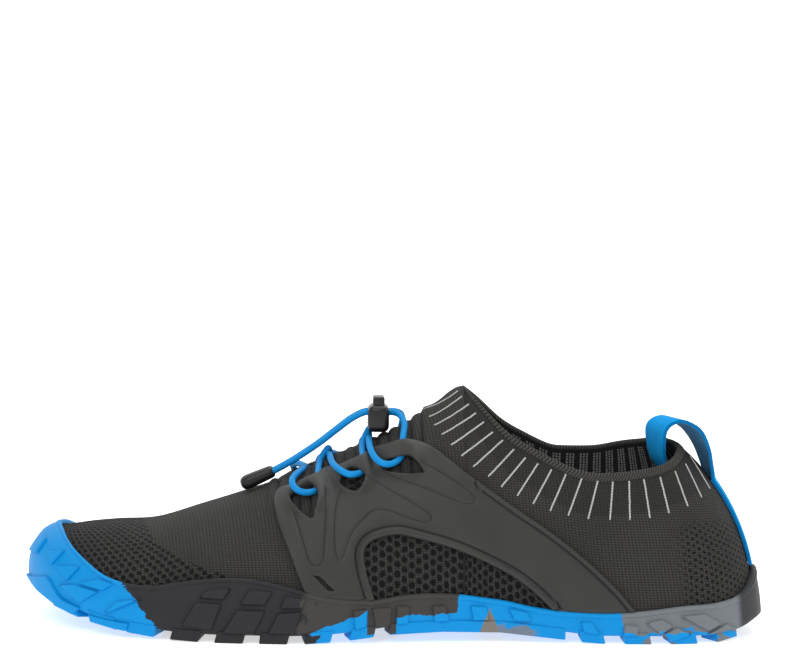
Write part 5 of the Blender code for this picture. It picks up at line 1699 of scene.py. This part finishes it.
EdgeLug = namedtuple("EdgeLug", "x0 x1 lean depth")
EDGE_LUGS = [
    EdgeLug(0.040, 0.074, 0.004, 0.013),
    EdgeLug(0.090, 0.126, 0.004, 0.014),
    EdgeLug(0.146, 0.182, -0.004, 0.015),
    EdgeLug(0.203, 0.240, -0.004, 0.016),
    EdgeLug(0.261, 0.298, -0.004, 0.016),
    EdgeLug(0.319, 0.356, -0.004, 0.016),
    EdgeLug(0.378, 0.412, -0.004, 0.014),
    EdgeLug(0.436, 0.468, -0.003, 0.012),
    EdgeLug(0.486, 0.560, 0.000, 0.010),
    EdgeLug(0.554, 0.640, 0.000, 0.010),
    EdgeLug(0.634, 0.724, 0.000, 0.010),
    EdgeLug(0.742, 0.774, 0.004, 0.012),
    EdgeLug(0.800, 0.836, 0.004, 0.012),
    EdgeLug(0.862, 0.898, 0.004, 0.012),
    EdgeLug(0.926, 0.954, 0.002, 0.011),
]
LugRow = namedtuple("LugRow", "x count pitch shift")
LUG_ROWS = [
    LugRow(0.085, 2, 0.17, 0.130),
    LugRow(0.142, 3, 0.17, 0.060),
    LugRow(0.200, 4, 0.17, 0.025),
    LugRow(0.258, 3, 0.17, 0.010),
    LugRow(0.316, 4, 0.17, 0.000),
    LugRow(0.374, 3, 0.17, -0.020),
    LugRow(0.780, 2, 0.17, -0.010),
    LugRow(0.838, 3, 0.15, -0.010),
    LugRow(0.896, 2, 0.15, -0.010),
]
LUG_LENGTH = 0.0110
LUG_WIDTH = 0.0120
LUG_TOP = LUG_DEPTH + 0.35 * SOLE_THICKNESS
LUG_BEVEL = 0.0005


def bevelled(points, faces):
    """The same solid with its edges bevelled."""
    mesh = bpy.data.meshes.new("lug")
    mesh.from_pydata(np.asarray(points, float).tolist(), [], faces)
    bm = bmesh.new()
    bm.from_mesh(mesh)
    bmesh.ops.recalc_face_normals(bm, faces=bm.faces)
    bmesh.ops.bevel(bm, geom=bm.edges[:], offset=LUG_BEVEL, segments=2, profile=0.5, affect="EDGES")
    made = [tuple(v.co) for v in bm.verts], [[v.index for v in f.verts] for f in bm.faces]
    bm.free()
    bpy.data.meshes.remove(mesh)
    return made


def edge_lug(lug, side):
    """A block at the sole's edge, seen from the side."""
    rand = RANDS[side]
    points = []
    for layer in (0, 1):
        for x in (lug.x0, lug.x1):
            for reach in (0.0, 1.0):
                t = LAST.t_at(x * LENGTH + lug.lean * LENGTH * (1 - layer))
                outer = rand.point(t, 0.0, 0.6 * SIDE_PLATE_HEIGHT)
                wall = LAST.shell(t, 0.0, side, 0.0)
                p = outer + unit(wall - outer) * (lug.depth * reach)
                p[2] = float(ground_at(p[0])) + layer * LUG_TOP
                points.append(p)
    faces = [[0, 1, 3, 2], [4, 5, 7, 6], [0, 1, 5, 4], [2, 3, 7, 6], [0, 2, 6, 4], [1, 3, 7, 5]]
    return bevelled(points, faces)


def inner_lug(x, y):
    """A six-sided block under the sole."""
    points = []
    for layer in (0, 1):
        for dx, dy in ((-0.5, 0), (-0.22, 0.5), (0.22, 0.5), (0.5, 0), (0.22, -0.5), (-0.22, -0.5)):
            px, py = x + dx * LUG_LENGTH, y + dy * LUG_WIDTH
            points.append((px, py, float(ground_at(px)) + layer * LUG_TOP))
    faces = [[0, 1, 2, 3, 4, 5], [6, 7, 8, 9, 10, 11]]
    faces += [[k, (k + 1) % 6, (k + 1) % 6 + 6, k + 6] for k in range(6)]
    return bevelled(points, faces)


def outsole():
    """The wall, the plates on it and the lugs."""
    wall = add_piece("sole_wall", *sole_wall(), RUBBER, 45)
    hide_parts("outsole")
    plates = []
    for side in (LATERAL, MEDIAL):
        for corners in TOE_PLATES + SIDE_PLATES:
            plates.append(rand_plate([Corner(*corner) for corner in corners], side))
    relief = add_piece("sole_plates", *joined(plates), RUBBER, 35)
    lugs = [edge_lug(lug, side) for side in (LATERAL, MEDIAL) for lug in EDGE_LUGS]
    for row in LUG_ROWS:
        for k in range(row.count):
            y = (row.shift + (k - (row.count - 1) / 2) * row.pitch) * BALL_WIDTH
            lugs.append(inner_lug(row.x * LENGTH, y))
    tread = add_piece("sole_lugs", *joined(lugs), RUBBER, 35)


outsole()

# The insole


def footbed():
    """The insole: dished, with a small bevel at its edge."""
    ts = spaced(0, 1, LINING_STATIONS)
    rows = []
    for side in (LATERAL, MEDIAL):
        height = floor_at(LAST.edge_x(ts))
        v = LAST.v_at(ts, side, height + INSOLE_THICKNESS)
        rows.append(LAST.shell(ts, v, side, -UPPER_WALL - CLEARANCE)[:, :2])
    ring = np.concatenate([rows[0], rows[1][-2:0:-1]])
    flat, triangles = fill([inset(ring, 0.0006)], 0.0045)
    floor = floor_at(ring[:, 0])
    low = np.column_stack([ring, floor + 0.0001])
    side_top = np.column_stack([ring, floor + INSOLE_THICKNESS - 0.0006])
    dish = 0.0006 * (1 - smooth(0.0, 0.014, distance_to(flat, ring)))
    top = np.column_stack([flat, floor_at(flat[:, 0]) + INSOLE_THICKNESS - 0.0003 + dish])
    count = len(ring)
    faces = [list(range(count))] + stepped_faces(count, triangles)
    piece = add_piece("footbed", np.concatenate([low, side_top, top]), faces, FOOTBED, 50)
    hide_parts("insole")


footbed()

# The heel tab

TAB_LOOP = [
    Mark(0.9219, 0.945), Mark(0.9080, 1.032), Mark(0.8940, 1.081), Mark(0.8740, 1.108),
    Mark(0.8570, 1.078), Mark(0.8530, 1.010), Mark(0.8600, 0.882), Mark(0.8860, 0.780),
]
TAB_FOOT = 0.360
TAB_SEWN_TO = 0.800
TAB_INNER_TO = 0.640
TAB_YAW = 0.32
TAB_COLUMNS = 12
TAB_ROUNDING = 0.15
TAB_EDGE = 0.00018


def heel_x(y, z, off):
    """The x of the upper's surface, moved off outside it, at the back of the heel."""
    y, z = np.broadcast_arrays(np.asarray(y, float), np.asarray(z, float))
    found = np.zeros(y.shape)
    small = 0.002
    for side in (LATERAL, MEDIAL):
        t, v = np.full(y.shape, 0.97), np.clip(z / HEEL_HEIGHT - 0.2, 0.1, 0.9)
        for _ in range(14):
            p = LAST.shell(t, v, side, off)
            by_t = (p - LAST.shell(t - small, v, side, off)) / small
            by_v = (LAST.shell(t, v + small, side, off) - p) / small
            miss_y, miss_z = p[..., 1] - side * np.abs(y), p[..., 2] - z
            size = by_t[..., 1] * by_v[..., 2] - by_v[..., 1] * by_t[..., 2]
            size = np.where(np.abs(size) < 1e-9, 1e-9, size)
            step_t = (miss_y * by_v[..., 2] - miss_z * by_v[..., 1]) / size
            step_v = (miss_z * by_t[..., 1] - miss_y * by_t[..., 2]) / size
            t = np.clip(t - np.clip(step_t, -0.05, 0.05), 0.85, 1.0)
            v = np.clip(v - np.clip(step_v, -0.2, 0.2), 0.0, 1.0)
        found = np.where((y < 0) == (side == LATERAL), LAST.shell(t, v, side, off)[..., 0], found)
    return found


def tab_faces():
    """The tab's inner and outer face: row by row up the heel, round the loop and down inside the collar."""
    ys = (np.arange(TAB_COLUMNS + 1) / TAB_COLUMNS - 0.5) * TAB_WIDTH
    z = mix(TAB_FOOT, TAB_SEWN_TO, np.linspace(0, 1, 25))[:, None] * HEEL_HEIGHT
    y_grid, z_grid = np.broadcast_arrays(ys[None, :], z)
    inner = list(np.stack([heel_x(y_grid, z_grid, CLEARANCE), y_grid, z_grid], -1))
    outer = list(np.stack([heel_x(y_grid, z_grid, CLEARANCE + TAB_THICKNESS), y_grid, z_grid], -1))
    start = (inner[-1][TAB_COLUMNS // 2] + outer[-1][TAB_COLUMNS // 2]) / 2
    end_z = TAB_INNER_TO * HEEL_HEIGHT
    inside_off = -UPPER_WALL - CLEARANCE
    sewn_off = inside_off - 0.75 * TAB_THICKNESS
    sewn = [(float(heel_x(0.0, z, sewn_off)), z) for z in (end_z + 0.006, end_z)]
    marks = [(start[0], start[2])] + [(m.x * LENGTH, m.z * HEEL_HEIGHT) for m in TAB_LOOP] + sewn
    line = line_through(marks, 0.0012)
    bow = heel_x(ys, start[2], 0.0) - heel_x(0.0, start[2], 0.0)
    bow_end = heel_x(ys, end_z, inside_off) - heel_x(0.0, end_z, inside_off)
    for k in range(1, len(line)):
        after = line[min(k + 1, len(line) - 1)]
        along = unit(np.array((after[0] - line[k - 1][0], 0, after[1] - line[k - 1][1])))
        out = np.array((along[2], 0, -along[0]))
        share = k / (len(line) - 1)
        yaw = TAB_YAW * max(min(3.5 * share, 1.0, 2.6 * (0.82 - share)), 0.0)
        shift = bow * max(1 - 4 * share, 0) + bow_end * min(max(4 * share - 2.6, 0), 1) - yaw * ys
        middle = np.column_stack([line[k][0] + shift, ys, np.full_like(ys, line[k][1])])
        inner.append(middle - out * TAB_THICKNESS / 2)
        outer.append(middle + out * TAB_THICKNESS / 2)
    return np.array(inner), np.array(outer)


def heel_tab():
    """The strip up the heel, with its finger loop and its slightly rounded edges."""
    inner, outer = tab_faces()
    low_edge = mix(inner, outer, TAB_ROUNDING)
    high_edge = mix(inner, outer, 1 - TAB_ROUNDING)
    ahead = unit(inner[:, 1] - inner[:, 0])[:, None, :] * TAB_EDGE
    ring = np.concatenate(
        [
            low_edge[:, :1],
            inner[:, :1] + ahead,
            inner[:, 1:-1],
            inner[:, -1:] - ahead,
            low_edge[:, -1:],
            high_edge[:, -1:],
            outer[:, -1:] - ahead,
            outer[:, -2:0:-1],
            outer[:, :1] + ahead,
            high_edge[:, :1],
        ],
        axis=1,
    )
    rows, width = ring.shape[:2]
    faces = grid_faces(rows, width, closed_columns=True) + end_caps(rows, width)
    edge = np.zeros((rows, width, 3))
    edge[:, [0, TAB_COLUMNS + 2, TAB_COLUMNS + 3, -1], 0] = 1
    edge[:, 1 : TAB_COLUMNS + 2, 1] = 1
    piece = add_piece("heel_tab", ring.reshape(-1, 3), faces, STRAP, 60, {"edge": edge.reshape(-1, 3)})
    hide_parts("pull_loop")


heel_tab()

# The lace between its windows

Reach = namedtuple("Reach", "x z off")
Over = namedtuple("Over", "x y rise")


def lace_places(marks, sides):
    """Places of the lace, seen from the side over the last or over the throat's crest."""
    places = np.zeros((len(marks), 3))
    for side in (LATERAL, MEDIAL):
        chosen = [k for k, mark in enumerate(marks) if sides[k] == side and isinstance(mark, Reach)]
        x, z, off = (np.array([getattr(marks[k], label) for k in chosen]) for label in ("x", "z", "off"))
        t, v = LAST.find(x, z, side, off)
        places[chosen] = LAST.shell(t, v, side, off)
    chosen = [k for k, mark in enumerate(marks) if isinstance(mark, Over)]
    x = np.array([marks[k].x for k in chosen])
    y = LAST.pivot_y(LAST.t_at(x)) + np.array([sides[k] * marks[k].y for k in chosen])
    rise = np.array([marks[k].rise for k in chosen])
    places[chosen] = np.stack([x, y, LAST.height(x, y) + rise], -1)
    return places


# Half of the lace, from the bar over the throat through three windows. The other half mirrors it. A stop in
# the middle has its own height for each half, because one strand crosses over the other.
Stop = namedtuple("Stop", "across place")
HALF = [
    Stop(1, Over(0.1046, 0.0000, 0.0010)),
    Stop(1, Over(0.1038, 0.0070, 0.0016)),
    Stop(1, Reach(0.1014, 0.0593, 0.0042)),
    Stop(1, Reach(0.0998, 0.0579, 0.0052)),
    Stop(1, Reach(0.1000, 0.0562, 0.0055)),
    Stop(1, Reach(0.1018, 0.0546, 0.0046)),
    Stop(1, Reach(0.1042, 0.0537, 0.0030)),
    Stop(1, Reach(0.1065, 0.0537, 0.0022)),
    Stop(1, Reach(0.1086, 0.0543, 0.0014)),
    Stop(1, Reach(0.1095, 0.0559, 0.0013)),
    Stop(1, Reach(0.1096, 0.0578, 0.0014)),
    Stop(1, Reach(0.1095, 0.0598, 0.0020)),
    Stop(1, Over(0.1103, 0.0052, 0.0018)),
    Stop(1, Over(0.1132, 0.0000, 0.0020)),
    Stop(-1, Over(0.1139, 0.0060, 0.0022)),
    Stop(-1, Reach(0.1149, 0.0639, 0.0040)),
    Stop(-1, Reach(0.1175, 0.0624, 0.0052)),
    Stop(-1, Reach(0.1209, 0.0611, 0.0050)),
    Stop(-1, Reach(0.1242, 0.0610, 0.0030)),
    Stop(-1, Reach(0.1262, 0.0617, 0.0016)),
    Stop(-1, Reach(0.1268, 0.0638, 0.0013)),
    Stop(-1, Reach(0.1265, 0.0661, 0.0018)),
    Stop(-1, Over(0.1265, 0.0060, 0.0018)),
    Stop(-1, Over(0.1290, 0.0000, 0.0027)),
    Stop(1, Over(0.1288, 0.0050, 0.0021)),
    Stop(1, Reach(0.1291, 0.0700, 0.0042)),
    Stop(1, Reach(0.1306, 0.0675, 0.0055)),
    Stop(1, Reach(0.1334, 0.0655, 0.0050)),
    Stop(1, Reach(0.1367, 0.0650, 0.0030)),
    Stop(1, Reach(0.1396, 0.0662, 0.0018)),
    Stop(1, Reach(0.1413, 0.0686, 0.0013)),
    Stop(1, Reach(0.1413, 0.0718, 0.0018)),
]


STRAND_OVER = 0.0022
STRAND_UNDER = -0.0003


def lace_runs():
    """The lace's two halves. At each crossing one of them lies over the other."""
    for side, label in ((LATERAL, "near"), (MEDIAL, "far")):
        marks, crossing = [], 0
        for stop in HALF:
            place = stop.place
            if isinstance(place, Over) and place.y == 0 and place.x > HALF[0].place.x:
                crossing += 1
                over = (crossing == 1) == (side == LATERAL)
                place = place._replace(rise=place.rise + (STRAND_OVER if over else STRAND_UNDER))
            marks.append(place)
        marks = list(lace_places(marks, [side * stop.across for stop in HALF]))
        marks.append(end_route(side)[0])
        path = line_through(marks, 0.0009)
        points, faces, weave = tube(path, LACE_DIAMETER / 2, LACE_SIDES)
        add_piece(f"lace_run_{label}", points, faces, LACE, 50, {"weave": weave})
    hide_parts("lace_bar", "lace_cross_1")
    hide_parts("lace_cross_2")


lace_runs()

# The floor and the light


GLOW = 0.60
SWEEP_HALF_WIDTH = 5.0
Bend = namedtuple("Bend", "y z")
SWEEP = [
    Bend(-4.0, 0.0),
    Bend(1.2, 0.0),
    Bend(1.7, 0.03),
    Bend(2.2, 0.16),
    Bend(2.6, 0.42),
    Bend(2.8, 0.8),
    Bend(2.9, 1.3),
    Bend(2.95, 5.0),
]


def stage():
    """A white sweep: the floor, curved up into the backdrop."""
    points = [(x, place.y, place.z) for x in (-SWEEP_HALF_WIDTH, SWEEP_HALF_WIDTH) for place in SWEEP]
    count = len(SWEEP)
    mesh = bpy.data.meshes.new("sweep")
    mesh.from_pydata(points, [], [[k, k + count, k + 1 + count, k + 1] for k in range(count - 1)])
    mesh.polygons.foreach_set("use_smooth", [True] * len(mesh.polygons))
    floor = bpy.data.objects.new("floor", mesh)
    bpy.context.scene.collection.objects.link(floor)
    look = Look("pale floor", roughness=0.9)
    look.shader.inputs["Emission Color"].default_value = (1, 1, 1, 1)
    look.shader.inputs["Emission Strength"].default_value = GLOW
    where, _ = look.place()
    colour = look.blend(look.noise(where, 0.004), (0.80, 0.80, 0.80), (0.83, 0.83, 0.83))
    mesh.materials.append(look.finish(colour))


def area_light(name, place, target, size, power):
    """A white area light that points at the target."""
    data = bpy.data.lights.new(name, "AREA")
    data.shape = "RECTANGLE"
    data.size, data.size_y = size
    data.energy = power
    lamp = bpy.data.objects.new(name, data)
    bpy.context.scene.collection.objects.link(lamp)
    aim = Vector(target) - Vector(place)
    lamp.matrix_world = Matrix.Translation(place) @ aim.to_track_quat("-Z", "Y").to_matrix().to_4x4()


def lights():
    """Soft studio light: an even surround and three large lamps."""
    world = bpy.data.worlds.new("studio")
    world.use_nodes = True
    sky = world.node_tree.nodes["Background"]
    sky.inputs["Color"].default_value = (1, 1, 1, 1)
    sky.inputs["Strength"].default_value = GLOW
    bpy.context.scene.world = world
    area_light("key", (-0.5, -1.3, 1.3), (0, 0, 0.04), (1.2, 0.8), 11)
    area_light("top", (0.2, 0.3, 1.6), (0, 0, 0.03), (1.4, 1.4), 13)
    area_light("side", (1.5, -0.6, 0.7), (0.05, 0, 0.04), (0.7, 0.9), 4)
    settings = bpy.context.scene.view_settings
    settings.view_transform = "Standard"
    settings.look = "None"


stage()
lights()
